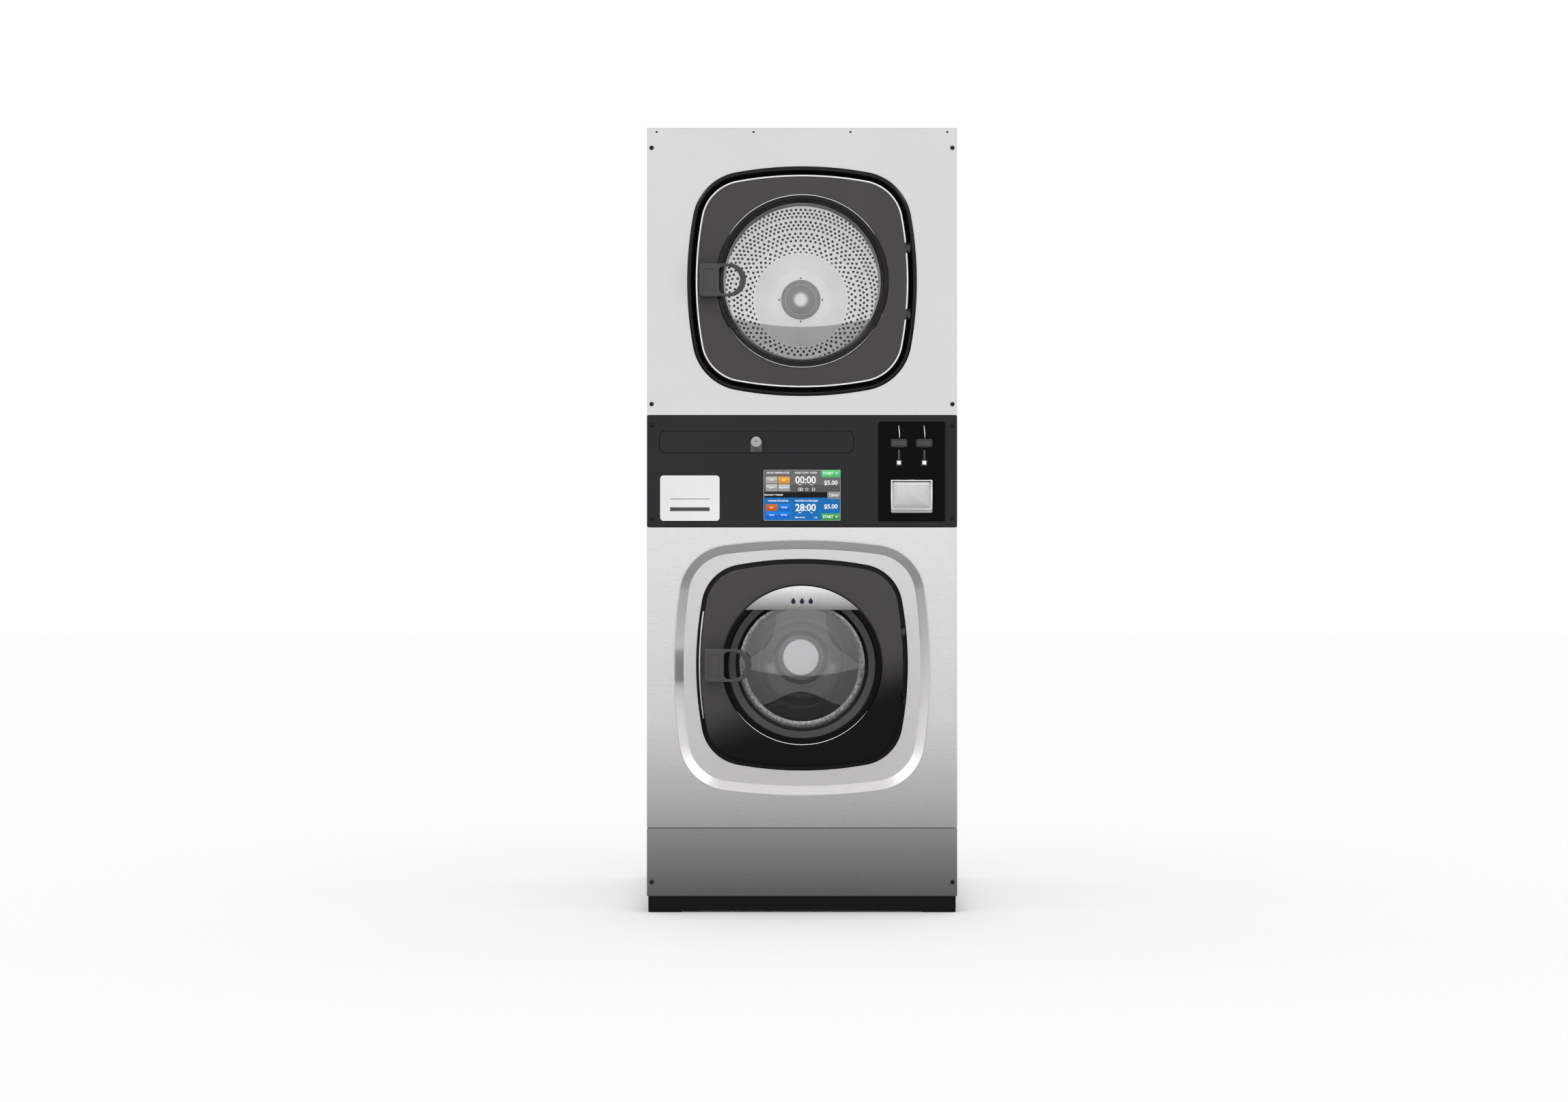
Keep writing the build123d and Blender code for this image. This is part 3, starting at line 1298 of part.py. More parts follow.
# ---------------------------------------------------------------- control band
fascia = (-fascia_rise, 0)
with BuildPart() as card_reader:
    slab(rounded(reader_width, reader_height, reader_corner), fascia, reader_z, reader_x)
    fillet(card_reader.faces().sort_by(Axis.Y)[0].edges(), fascia_rise / 3)
    body = rounded(reader_width - 2 * fascia_lip - 2, reader_height - 2 * fascia_lip - 2, panel_corner)
    slab(body, (0, reader_body), reader_z, reader_x)
    slot_x = (reader_x - card_slot_width / 2, reader_x + card_slot_width / 2)
    slot_z = (card_slot_z - card_slot_height / 2, card_slot_z + card_slot_height / 2)
    block(slot_x, (-fascia_rise, card_slot_depth), slot_z, mode=Mode.SUBTRACT)
    slit_z = (card_slit_z - card_slit_height / 2, card_slit_z + card_slit_height / 2)
    block(slot_x, (-fascia_rise, fascia_rise), slit_z, mode=Mode.SUBTRACT)
write(card_reader.part, "card_reader")

with BuildPart() as touch_display:
    slab(rounded(screen_width, screen_height, screen_corner), fascia, screen_z, screen_x)
    fillet(touch_display.faces().sort_by(Axis.Y)[0].edges(), fascia_rise / 3)
    body = rounded(screen_width - 2 * fascia_lip - 2, screen_height - 2 * fascia_lip - 2, panel_corner)
    slab(body, (0, screen_body), screen_z, screen_x)
write(touch_display.part, "touch_display")

vault_out = (vault_width + 2 * vault_gap, vault_height + 2 * vault_gap)
sleeve = (vault_out[0] + 2 * tray_wall, vault_out[1] + 2 * tray_wall)
with BuildPart() as coin_plate:
    slab(rounded(coin_width, coin_height, coin_corner), fascia, coin_z, coin_x)
    fillet(coin_plate.faces().sort_by(Axis.Y)[0].edges(), fascia_rise / 3)
    # sleeve for the coin vault behind the plate, open at the rear
    slab(rounded(*sleeve, vault_corner), (0, vault_depth + 10), vault_z, coin_x)
    vault_room = (-fascia_rise, vault_depth + 10)
    slab(rounded(*vault_out, vault_corner), vault_room, vault_z, coin_x, mode=Mode.SUBTRACT)
    for x in coin_columns:
        drop_z = (vault_z, mech_z[0])
        block((x - 8, x + 8), (mech_depths[0] + 20, mech_depths[0] + 60), drop_z, mode=Mode.SUBTRACT)
        slot_x = (x - coin_slot_width / 2, x + coin_slot_width / 2)
        slot_z = (coin_slot_z - coin_slot_height / 2, coin_slot_z + coin_slot_height / 2)
        block(slot_x, fascia, slot_z, mode=Mode.SUBTRACT)
        stem_x = (x - stem_slot_width / 2, x + stem_slot_width / 2)
        block(stem_x, fascia, stem_slot_z, mode=Mode.SUBTRACT)
        lamp_z = (stem_box_z - stem_box / 2, stem_box_z + stem_box / 2)
        block((x - stem_box / 2, x + stem_box / 2), fascia, lamp_z, mode=Mode.SUBTRACT)
        button_hole = rounded(button_width + 2 * button_gap, button_height + 2 * button_gap, 2)
        slab(button_hole, fascia, button_z, x, mode=Mode.SUBTRACT)
write(coin_plate.part, "coin_plate")

with BuildPart() as coin_acceptors:
    # two coin mechanisms with a chute behind each slot and a small lamp below
    for x in coin_columns:
        block((x - mech_width / 2, x + mech_width / 2), mech_depths, mech_z)
        chute_x = (x - coin_slot_width / 2, x + coin_slot_width / 2)
        chute_z = (coin_slot_z - coin_slot_height / 2, coin_slot_z + coin_slot_height / 2)
        block(chute_x, (mech_depths[0], coin_chute_depth), chute_z, mode=Mode.SUBTRACT)
        lamp_x = (x - stem_lamp / 2, x + stem_lamp / 2)
        lamp_z = (stem_box_z - stem_lamp / 2, stem_box_z + stem_lamp / 2)
        block(lamp_x, (-fascia_rise / 2, mech_depths[0]), lamp_z)
write(coin_acceptors.part, "coin_acceptors")

for label, x in zip(("coin_reject_button_left", "coin_reject_button_right"), coin_columns):
    with BuildPart() as button:
        slab(rounded(button_width, button_height, 1.5), (-button_rise, 1), button_z, x)
        fillet(button.faces().sort_by(Axis.Y)[0].edges(), 1)
        # retaining lip behind the plate
        lip = rounded(button_width + 5, button_height + 5, 2)
        slab(lip, (1, 3), button_z, x)
    write(button.part, label)

with BuildPart() as coin_vault:
    slab(rounded(vault_width, vault_height, vault_corner), (-vault_cover, 0), vault_z, coin_x)
    fillet(coin_vault.faces().sort_by(Axis.Y)[0].edges(), 1.5)
    slab(rounded(vault_width, vault_height, vault_corner), (0, vault_depth), vault_z, coin_x)
    inner_x = (coin_x - vault_width / 2 + tray_wall, coin_x + vault_width / 2 - tray_wall)
    inner_z = (vault_z - vault_height / 2 + tray_wall, vault_z + vault_height / 2)
    block(inner_x, (tray_wall, vault_depth - tray_wall), inner_z, mode=Mode.SUBTRACT)
    rod((coin_x, vault_z), vault_lock_r + pin_clearance, (-vault_cover, tray_wall), mode=Mode.SUBTRACT)
write(coin_vault.part, "coin_vault")


def lock_barrel(place, head_r, head_front, shank_r, head_back, cam_depth, cam_length):
    """Key lock: a head with a key slot, a shank and a cam that points up when locked."""
    rod(place, head_r, (head_front, head_back))
    rod(place, shank_r, (head_back, cam_depth + 3))
    x, z = place
    cam_half = 0.7 * shank_r
    block((x - cam_half, x + cam_half), (cam_depth, cam_depth + 3), (z - cam_half, z + cam_length))
    block((x - 0.8, x + 0.8), (head_front, head_front + 4), (z - 4, z + 4), mode=Mode.SUBTRACT)


with BuildPart() as coin_vault_lock:
    place = (coin_x, vault_z)
    lock_barrel(place, vault_lock_r, -vault_cover - 1.5, vault_lock_r, 0, tray_wall + 6, vault_cam)
write(coin_vault_lock.part, "coin_vault_lock")

tray_half = lint_width / 2 - lint_travel_room
tray_low = lint_z - lint_height / 2 + lint_travel_room
tray_high = lint_z + lint_height / 2 - lint_travel_room
with BuildPart() as lint_drawer:
    slab(rounded(lint_width, lint_height, lint_corner), (-0.5, lint_flap), lint_z, lint_x)
    tray_x = (lint_x - tray_half, lint_x + tray_half)
    block(tray_x, (lint_flap, lint_depth), (tray_low, tray_high))
    inner_x = (tray_x[0] + tray_wall, tray_x[1] - tray_wall)
    inner_depths = (lint_flap + tray_wall, lint_depth - tray_wall)
    block(inner_x, inner_depths, (tray_low + tray_wall, tray_high), mode=Mode.SUBTRACT)
    # arched tab that carries the lock
    tab_half = tab_width / 2
    with BuildSketch(facing(-0.5, lint_z, lock_x)):
        Circle(tab_half)
        with Locations((0, -tab_drop / 2)):
            Rectangle(tab_width, tab_drop)
        with Locations((0, -lint_height)):
            Rectangle(tab_width + 2, lint_height, mode=Mode.SUBTRACT)
    extrude(amount=tab_sheet)
    lock_hole = (-0.5 - tab_sheet, lint_flap + tray_wall)
    rod((lock_x, lint_z), lock_shank_r + pin_clearance, lock_hole, mode=Mode.SUBTRACT)
write(lint_drawer.part, "lint_drawer")

with BuildPart() as lint_lock_barrel:
    head_front = -0.5 - tab_sheet - lock_rise
    head_back = -0.5 - tab_sheet - fit_gap
    place = (lock_x, lint_z)
    lock_barrel(place, lock_r, head_front, lock_shank_r, head_back, lint_flap + tray_wall + 3, lock_cam)
write(lint_lock_barrel.part, "lint_lock_barrel")

screen_low = tray_high - lint_screen_drop
with BuildPart() as lint_screen:
    # framed screen that lies in the drawer, with cross bars under the mesh
    screen_depths = (lint_flap + 30, lint_depth - tray_wall)
    block(inner_x, screen_depths, (screen_low, screen_low + 6))
    window_x = (inner_x[0] + 12, inner_x[1] - 12)
    window_depths = (screen_depths[0] + 12, screen_depths[1] - 12)
    block(window_x, window_depths, (screen_low, screen_low + 5), mode=Mode.SUBTRACT)
    bar_pitch = (window_x[1] - window_x[0]) / (lint_screen_bars + 1)
    for bar in range(1, lint_screen_bars + 1):
        bar_x = window_x[0] + bar * bar_pitch
        block((bar_x - 2, bar_x + 2), window_depths, (screen_low, screen_low + 5))
write(lint_screen.part, "lint_screen")
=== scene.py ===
# %% [markdown]
# # A coin-operated washer and dryer in one cabinet
# The machine is a stack: a front-loading washer below, a tumble dryer above, and a control band between.
# Every part that fits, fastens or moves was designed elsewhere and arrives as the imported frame.
# This lesson gives those parts their finishes, and makes the pieces whose looks need Blender's own tools:
# the perforated drums, the lit display, the screws, the louvres and the small bright trims.

# %% Load the frame and keep its box
import math

import bmesh
import bpy
import numpy as np
from mathutils import Matrix, Vector


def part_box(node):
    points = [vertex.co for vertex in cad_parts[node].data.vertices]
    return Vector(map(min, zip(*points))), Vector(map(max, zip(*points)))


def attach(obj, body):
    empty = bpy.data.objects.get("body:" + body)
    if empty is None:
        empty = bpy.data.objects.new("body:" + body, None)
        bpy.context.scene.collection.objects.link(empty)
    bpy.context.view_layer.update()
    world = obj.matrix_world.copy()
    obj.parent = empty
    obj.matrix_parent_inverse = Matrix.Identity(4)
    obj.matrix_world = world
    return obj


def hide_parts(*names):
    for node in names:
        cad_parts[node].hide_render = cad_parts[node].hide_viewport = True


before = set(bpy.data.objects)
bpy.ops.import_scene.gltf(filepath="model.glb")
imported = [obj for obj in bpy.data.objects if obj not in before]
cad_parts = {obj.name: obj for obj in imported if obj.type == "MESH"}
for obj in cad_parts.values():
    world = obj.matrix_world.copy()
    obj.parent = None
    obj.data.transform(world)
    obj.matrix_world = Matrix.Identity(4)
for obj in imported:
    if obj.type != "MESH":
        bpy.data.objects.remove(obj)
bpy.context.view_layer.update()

# %% [markdown]
# ## Places
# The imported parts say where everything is, so a new piece takes its place from them.
# The frame is in metres and the sizes of an appliance are easiest to say in millimetres, so mm turns one
# into the other. A depth is a distance behind the front panels, which all lie in one plane.

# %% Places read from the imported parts
mm = 0.001


def middle(node):
    low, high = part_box(node)
    return (low + high) / 2


def extent(node):
    low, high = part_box(node)
    return high - low


front_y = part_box("kick_panel")[0].y
rear_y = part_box("rear_panel_upper")[1].y
washer_z = middle("washer_drum").z
dryer_z = middle("dryer_drum").z
half_width = extent("kick_panel").x / 2
print("axes at", round(washer_z, 4), round(dryer_z, 4), "half width", round(half_width, 4))

# %% [markdown]
# ## The camera
# The camera stands straight in front, at about half the machine's height. Its lens follows from how wide a
# view it should hold at its distance, so both are real sizes that can be changed on their own.

# %% Camera
camera_distance = 9.42
sensor_width = 36.0
view_width = 3.9666
camera = bpy.data.objects.new("camera", bpy.data.cameras.new("camera"))
camera.data.sensor_width = sensor_width
camera.data.lens = sensor_width * camera_distance / view_width
camera_x, camera_height = -45.6 * mm, 914.3 * mm
camera.location = (camera_x, front_y - camera_distance, camera_height)
camera.rotation_euler = (math.pi / 2, 0, 0)
bpy.context.scene.collection.objects.link(camera)
bpy.context.scene.camera = camera
bpy.context.scene.view_settings.view_transform = "Standard"
print("lens", round(camera.data.lens, 1), "mm")


# %% [markdown]
# ## Two small tools for node trees
# A colour is picked as the hex code that a screen shows, and a shader wants linear light, so one function
# turns the code into linear values. The other adds a node, sets what it is told and draws its links.

# %% Colour and node tools
def linear(code):
    """Linear colour, with alpha, of an sRGB hex code."""
    parts = [int(code[at:at + 2], 16) / 255 for at in (1, 3, 5)]
    return (*[p / 12.92 if p <= 0.04045 else ((p + 0.055) / 1.055) ** 2.4 for p in parts], 1.0)


def node(tree, kind, values=None, **settings):
    """Add a node. Settings are its attributes. A value is put in a socket, or linked if it is a socket."""
    made = tree.nodes.new(kind)
    for name, setting in settings.items():
        setattr(made, name, setting)
    for key, value in (values or {}).items():
        if isinstance(value, bpy.types.NodeSocket):
            tree.links.new(value, made.inputs[key])
        else:
            made.inputs[key].default_value = value
    return made


def out(made, key=0):
    return made.outputs[key]


def maths(tree, operation, *values):
    """Result of one arithmetic node."""
    return out(node(tree, "ShaderNodeMath", dict(enumerate(values)), operation=operation))


print("tools: linear, node, out, maths")

# %% [markdown]
# ## The studio
# The light is one white sky, which is how a large softbox tent looks to the machine. Glossy paint, black
# plastic and steel show what they mirror, so mirrored rays meet a studio of their own: dark below the
# horizon, as over a dark floor, white above it, and a strong lamp halfway up that draws the thin bright
# lines along rounded edges. Each drum has a small lamp of its own just inside the glass, hidden from view.

# %% The studio
sky = bpy.data.worlds.new("studio")
sky.use_nodes = True
tree = sky.node_tree
tree.nodes.clear()
direction = out(node(tree, "ShaderNodeTexCoord"), "Generated")
height = out(node(tree, "ShaderNodeSeparateXYZ", {0: direction}), "Z")
mirrored = node(tree, "ShaderNodeValToRGB", {0: out(node(tree, "ShaderNodeMapRange", {
    "Value": height, "From Min": -1.0, "From Max": 1.0}))})
horizon = 0.5 - 0.0165
ramp = mirrored.color_ramp
ramp.elements[0].position, ramp.elements[0].color = 0.0, (0.22, 0.22, 0.22, 1)
ramp.elements[1].position, ramp.elements[1].color = 1.0, (0.6, 0.6, 0.6, 1)
below = ((0.40, 0.07), (horizon - 0.008, 0.05))
above = ((horizon + 0.010, 0.95), (0.74, 1.0), (0.79, 3.5), (0.83, 3.5), (0.88, 0.6))
for place, level in below + above:
    ramp.elements.new(place).color = (level, level, level, 1)
white = node(tree, "ShaderNodeBackground", {"Color": (1, 1, 1, 1), "Strength": 1.02})
tent = node(tree, "ShaderNodeBackground", {"Color": out(mirrored), "Strength": 1.0})
ray = node(tree, "ShaderNodeLightPath")
blend = node(tree, "ShaderNodeMixShader", {0: out(ray, "Is Glossy Ray"), 1: out(white), 2: out(tent)})
node(tree, "ShaderNodeOutputWorld", {"Surface": out(blend)})
bpy.context.scene.world = sky

floor_half = 30.0
floor_mesh = bpy.data.meshes.new("floor")
corners = [(-floor_half, -floor_half, 0), (floor_half, -floor_half, 0)]
corners += [(floor_half, floor_half, 0), (-floor_half, floor_half, 0)]
floor_mesh.from_pydata(corners, [], [(0, 1, 2, 3)])
floor = bpy.data.objects.new("floor", floor_mesh)
floor.visible_glossy = False
bpy.context.scene.collection.objects.link(floor)
pale = bpy.data.materials.new("pale_studio_floor")
pale.use_nodes = True
tree = pale.node_tree
tree.nodes.clear()
matte = node(tree, "ShaderNodeBsdfDiffuse", {"Color": (0.97, 0.97, 0.97, 1)})
node(tree, "ShaderNodeOutputMaterial", {"Surface": out(matte)})
floor_mesh.materials.append(pale)

for name, axis_z, depth, watts in (("dryer_lamp", dryer_z, 130, 2.6), ("washer_lamp", washer_z, 180, 1.9)):
    lamp = bpy.data.lights.new(name, "AREA")
    lamp.shape = "DISK"
    lamp.size = 0.34
    lamp.energy = watts
    holder = bpy.data.objects.new(name, lamp)
    holder.location = (0, front_y + depth * mm, axis_z)
    holder.rotation_euler = (math.pi / 2, 0, 0)
    holder.visible_camera = False
    holder.visible_glossy = False
    bpy.context.scene.collection.objects.link(holder)
print("studio ready")

# %% [markdown]
# ## Finishes
# Each finish below starts from what the real surface is and how it was made. Most take their pattern from
# Object coordinates, which are metres on this machine, so a scale is one over a real size in metres.
# begin() opens a material and gives its tree and those coordinates; grain() makes a noise of a real size.


# %% Shared starts
def begin(name):
    material = bpy.data.materials.new(name)
    material.use_nodes = True
    tree = material.node_tree
    tree.nodes.clear()
    return material, tree, out(node(tree, "ShaderNodeTexCoord"), "Object")


def grain(tree, place, size, detail=3.0, stretch=(1, 1, 1)):
    """Noise whose lumps are about this size in metres, longer along an axis by its stretch."""
    turned_scale = [1 / (size * s) for s in stretch]
    mapped = node(tree, "ShaderNodeMapping", {"Vector": place, "Scale": turned_scale})
    return out(node(tree, "ShaderNodeTexNoise", {"Vector": out(mapped), "Scale": 1.0, "Detail": detail}))


def spread(tree, value, low, high, start=0.3, end=0.7, curve="LINEAR"):
    """Map start to low and end to high. A noise mostly lies between 0.3 and 0.7."""
    values = {"Value": value, "From Min": start, "From Max": end, "To Min": low, "To Max": high}
    return out(node(tree, "ShaderNodeMapRange", values, interpolation_type=curve))


def between(tree, amount, first, second):
    """Mix two colours, given as hex codes or sockets."""
    mix = node(tree, "ShaderNodeMix", {"Factor": amount}, data_type="RGBA")
    for key, colour in ((6, first), (7, second)):
        if isinstance(colour, str):
            mix.inputs[key].default_value = linear(colour)
        else:
            tree.links.new(colour, mix.inputs[key])
    return mix.outputs[2]


def from_axis(tree, place, axis_z):
    """Distance from an axis that runs front to back at this height."""
    parts = node(tree, "ShaderNodeSeparateXYZ", {0: place})
    rise = maths(tree, "SUBTRACT", out(parts, "Z"), axis_z)
    flat = node(tree, "ShaderNodeCombineXYZ", {0: out(parts, "X"), 1: rise})
    return out(node(tree, "ShaderNodeVectorMath", {0: out(flat)}, operation="LENGTH"), "Value")


def relief(tree, height, distance, strength=1.0):
    """Bump of a real height in metres."""
    values = {"Height": height, "Distance": distance, "Strength": strength}
    return out(node(tree, "ShaderNodeBump", values))


def finish(tree, values):
    """Put one Principled shader on the surface."""
    shader = node(tree, "ShaderNodeBsdfPrincipled", values)
    node(tree, "ShaderNodeOutputMaterial", {"Surface": out(shader)})


print("starts: begin, grain, spread, between, from_axis, relief, finish")

# %% [markdown]
# ### Painted sheet metal
# Powder coat is a thermoset paint that melts on the sheet. Up close it has a faint orange peel of about a
# millimetre, so it never mirrors sharply. The cabinet is light grey, the control band charcoal with a fine
# texture, and the base is black enamel.


# %% Painted metals
def powder_coat(name, light, dark, peel_size, roughness, gloss):
    material, tree, place = begin(name)
    tone = spread(tree, grain(tree, place, 0.35, 2.0), 0.0, 1.0)
    peel = grain(tree, place, peel_size, 2.0)
    finish(tree, {
        "Base Color": between(tree, tone, light, dark),
        "Roughness": spread(tree, peel, roughness - 0.05, roughness + 0.05),
        "Specular IOR Level": gloss,
        "Normal": relief(tree, peel, peel_size * 0.02, 0.35),
    })
    return material


grey_powder_coat = powder_coat("grey_powder_coat", "#DCDCDB", "#DADAD9", 1.4 * mm, 0.42, 0.35)
charcoal_powder_coat = powder_coat("charcoal_powder_coat", "#29292B", "#262628", 0.9 * mm, 0.55, 0.22)
black_enamel = powder_coat("black_enamel", "#060606", "#0B0B0B", 2.0 * mm, 0.35, 0.25)
print("painted metals made")


# %% [markdown]
# ### Brushed stainless steel
# A belt grinder draws fine lines across the sheet, a few hundredths of a millimetre wide and several
# centimetres long. Lines that fine can't show at this distance, so they are drawn about a millimetre wide.
# Each sheet's colour is painted from light at the top to dark lower down. On the panels this is a painted
# reflection of the dark floor that steel mirrors, with painted shade on the kick panel.


# %% Stainless finishes
def brushed_steel(name, tones, streak, roughness, stretch=(60, 60, 1), metallic=0.65, contrast=0.05):
    """Tones are (height in metres, hex code), from the lowest to the highest. The base colour is painted
    through them by height, painted shade where a lower tone is darker.
    """
    material, tree, place = begin(name)
    up = out(node(tree, "ShaderNodeSeparateXYZ", {0: place}), "Z")
    low, high = tones[0][0], tones[-1][0]
    # The ramp paints the base colour by height: painted shade and reflection where it darkens lower down.
    fade = node(tree, "ShaderNodeValToRGB", {0: spread(tree, up, 0, 1, low, high)})
    stops = fade.color_ramp.elements
    for spot, (at, code) in enumerate(tones):
        position = (at - low) / (high - low)
        stop = stops[0] if spot == 0 else stops[-1] if spot == len(tones) - 1 else stops.new(position)
        stop.position = position
        stop.color = linear(code)
    lines = grain(tree, place, streak, 4.0, stretch)
    fine = grain(tree, place, streak * 0.5, 3.0, stretch)
    dull = node(tree, "ShaderNodeHueSaturation", {
        "Color": out(fade), "Value": spread(tree, lines, 1 - contrast, 1 + contrast)})
    finish(tree, {
        "Base Color": out(dull),
        "Metallic": metallic,
        "Roughness": spread(tree, fine, roughness - 0.07, roughness + 0.07),
        "Normal": relief(tree, fine, contrast * 0.8 * mm, 0.5),
    })
    return material


washer_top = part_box("washer_front_panel")[1].z
kick_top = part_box("kick_panel")[1].z
kick_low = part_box("kick_panel")[0].z
# Painted reflection and shade: the sheet is painted darker towards the floor, darkest on the kick panel.
panel_painted_reflection_tones = (
    (kick_low, "#727270"), (kick_top, "#A6A6A4"), (kick_top + 2 * mm, "#BDBDBB"),
    (kick_top + 0.11, "#D6D6D3"), (kick_top + 0.28, "#F4F4F1"), (washer_top, "#FFFFFD"),
)
brushed_stainless = brushed_steel("brushed_stainless", panel_painted_reflection_tones, 1.0 * mm, 0.34)
bezel_tones = ((washer_z - 0.33, "#F6F5F3"), (washer_z + 0.33, "#FFFFFF"))
satin_stainless = brushed_steel(
    "satin_stainless", bezel_tones, 0.8 * mm, 0.34, metallic=0.85, contrast=0.015)
drum_tones = ((washer_z - 0.4, "#D8D8D6"), (dryer_z + 0.4, "#E6E5E3"))
drum_stainless = brushed_steel("rolled_stainless", drum_tones, 1.2 * mm, 0.42, (1, 40, 1), 0.3)
washer_drum_tones = ((washer_z - 0.4, "#7C7C7A"), (washer_z + 0.4, "#848482"))
# The washer's drum is a darker grey, a little darker towards the bottom.
washer_drum_steel = brushed_steel("washer_drum_stainless", washer_drum_tones, 1.2 * mm, 0.4, (1, 40, 1), 0.4)
# The badge is pressed from bright sheet and leans back. Its colour is painted from white at its top to mid
# grey, a painted shade for how light falls on the leaning face.
badge_painted_shade_tones = ((washer_z + 0.139, "#858584"), (washer_z + 0.165, "#C6C6C5"), (washer_z + 0.196, "#FFFFFF"))
badge_silver = brushed_steel("badge_silver", badge_painted_shade_tones, 1.0 * mm, 0.38, (1, 1, 60), 0.4)
print("stainless finishes: panel, bezel, two drums, badge")


# %% [markdown]
# ### Galvanised, zinc plated and cast metals
# The rear panels and the hidden frame are galvanised sheet, whose zinc freezes into flat crystals called
# spangle, about a centimetre across. Shafts and pulleys are zinc plated, and the bearing housings and
# motors are rough castings. Small parts add chrome, satin silver, a rubbed steel ring whose tone breaks up
# into lumps, smoked steel with a brown cast, and the flat black of oxidised screws.


# %% Plain metals
def galvanised():
    material, tree, place = begin("galvanised_sheet")
    spangle = node(tree, "ShaderNodeTexVoronoi", {"Vector": place, "Scale": 1 / (11 * mm)})
    tone = out(node(tree, "ShaderNodeSeparateColor", {0: out(spangle, "Color")}))
    finish(tree, {
        "Base Color": between(tree, tone, "#A9ACAE", "#C3C6C8"),
        "Metallic": 0.85,
        "Roughness": spread(tree, tone, 0.38, 0.52, 0.0, 1.0),
        "Normal": relief(tree, tone, 0.05 * mm, 0.4),
    })
    return material


def bare_metal(name, light, dark, lump, roughness, metallic, height):
    material, tree, place = begin(name)
    lumps = grain(tree, place, lump, 4.0)
    finish(tree, {
        "Base Color": between(tree, spread(tree, lumps, 0, 1), light, dark),
        "Metallic": metallic,
        "Roughness": spread(tree, lumps, roughness - 0.08, roughness + 0.08),
        "Normal": relief(tree, lumps, height, 0.6),
    })
    return material


galvanised_sheet = galvanised()
zinc_plate = bare_metal("zinc_plate", "#C9C8C2", "#A9A8A2", 6 * mm, 0.38, 1.0, 0.02 * mm)
cast_iron = bare_metal("painted_cast_iron", "#3A3B3D", "#2C2D2F", 2.5 * mm, 0.6, 0.1, 0.3 * mm)
cast_aluminium = bare_metal("cast_aluminium", "#8C8F92", "#74777A", 1.8 * mm, 0.5, 0.8, 0.15 * mm)
polished_chrome = bare_metal("polished_chrome", "#F4F4F4", "#EDEDED", 30 * mm, 0.12, 1.0, 0.002 * mm)
satin_anodised = bare_metal("satin_anodised_aluminium", "#D5D5D6", "#CBCBCD", 0.9 * mm, 0.34, 1.0, 0.01 * mm)


def spun_cap():
    """Aluminium spun on a lathe: a soft grey, lighter at its crown, with one painted highlight, a bright
    line on the ridge near the rim.
    """
    material, tree, place = begin("spun_aluminium")
    radius = from_axis(tree, place, dryer_z)
    crown = spread(tree, radius, 0, 1, 24 * mm, 11 * mm, "SMOOTHSTEP")
    # Painted highlight: a bright line painted on the ridge at 41.5 mm.
    off = maths(tree, "ABSOLUTE", maths(tree, "SUBTRACT", radius, 41.5 * mm))
    line = spread(tree, off, 0, 1, 0.9 * mm, 0.4 * mm)
    body = between(tree, grain(tree, place, 4 * mm, 3.0), "#8A8A88", "#848482")
    finish(tree, {
        "Base Color": between(tree, line, between(tree, crown, body, "#DEDEDC"), "#B8B8B6"),
        "Metallic": 0.4,
        "Roughness": 0.45,
    })
    return material


spun_aluminium = spun_cap()
# The clamp ring is the rubbed one: grey with darker lumps a few millimetres across.
rubbed_steel = bare_metal("rubbed_steel", "#B4B2B0", "#6E6C6B", 7 * mm, 0.3, 0.8, 0.03 * mm)
vault_silver = bare_metal("vault_silver", "#D6D6D6", "#CFCFCF", 5 * mm, 0.34, 0.35, 0.01 * mm)
smoked_steel = bare_metal("smoked_steel", "#6A6664", "#5A5755", 3 * mm, 0.4, 0.6, 0.01 * mm)
black_oxide = bare_metal("black_oxide_steel", "#080808", "#101010", 1.2 * mm, 0.5, 0.1, 0.02 * mm)
print("metals made")


# %% [markdown]
# ### Plastics and rubber
# The doors are moulded ABS with a satin face, the bezel and rings are the same plastic in glossy black, and
# the handles are glass-filled nylon with a fine spark-eroded grain. A moulding is never quite even: the
# tone drifts and the grain breaks up its gloss.


# %% Mouldings
def moulding(name, light, dark, grain_size, roughness, gloss, height, drift=0.12):
    material, tree, place = begin(name)
    tone = spread(tree, grain(tree, place, drift, 2.0), 0, 1)
    pores = grain(tree, place, grain_size, 3.0)
    finish(tree, {
        "Base Color": between(tree, tone, light, dark),
        "Roughness": spread(tree, pores, roughness - 0.05, roughness + 0.05),
        "Specular IOR Level": gloss,
        "Normal": relief(tree, pores, height, 0.4),
    })
    return material


def washer_door_abs():
    """Charcoal ABS whose satin face is painted black below the handle, a painted reflection of the dark
    floor.
    """
    material, tree, place = begin("charcoal_abs_washer_door")
    parts = node(tree, "ShaderNodeSeparateXYZ", {0: place})
    level = maths(tree, "ADD", out(parts, "Z"), maths(tree, "MULTIPLY", out(parts, "X"), -0.32))
    edge = maths(tree, "ADD", level, maths(tree, "MULTIPLY", grain(tree, place, 0.25, 1.0), 0.05))
    # Painted reflection: black below a slanting edge, charcoal above it.
    share = spread(tree, edge, 0, 1, washer_z - 0.155, washer_z + 0.02, "SMOOTHERSTEP")
    pores = grain(tree, place, 0.8 * mm, 3.0)
    finish(tree, {
        "Base Color": between(tree, share, "#050505", "#474644"),
        "Roughness": spread(tree, pores, 0.26, 0.36),
        "Specular IOR Level": 0.22,
        "Normal": relief(tree, pores, 0.012 * mm, 0.4),
    })
    return material


charcoal_abs = moulding("charcoal_abs", "#454442", "#413F3E", 0.8 * mm, 0.34, 0.35, 0.015 * mm)
washer_door_painted_reflection_abs = washer_door_abs()
black_abs = moulding("black_abs", "#060606", "#0A0A0A", 0.9 * mm, 0.16, 0.32, 0.004 * mm)


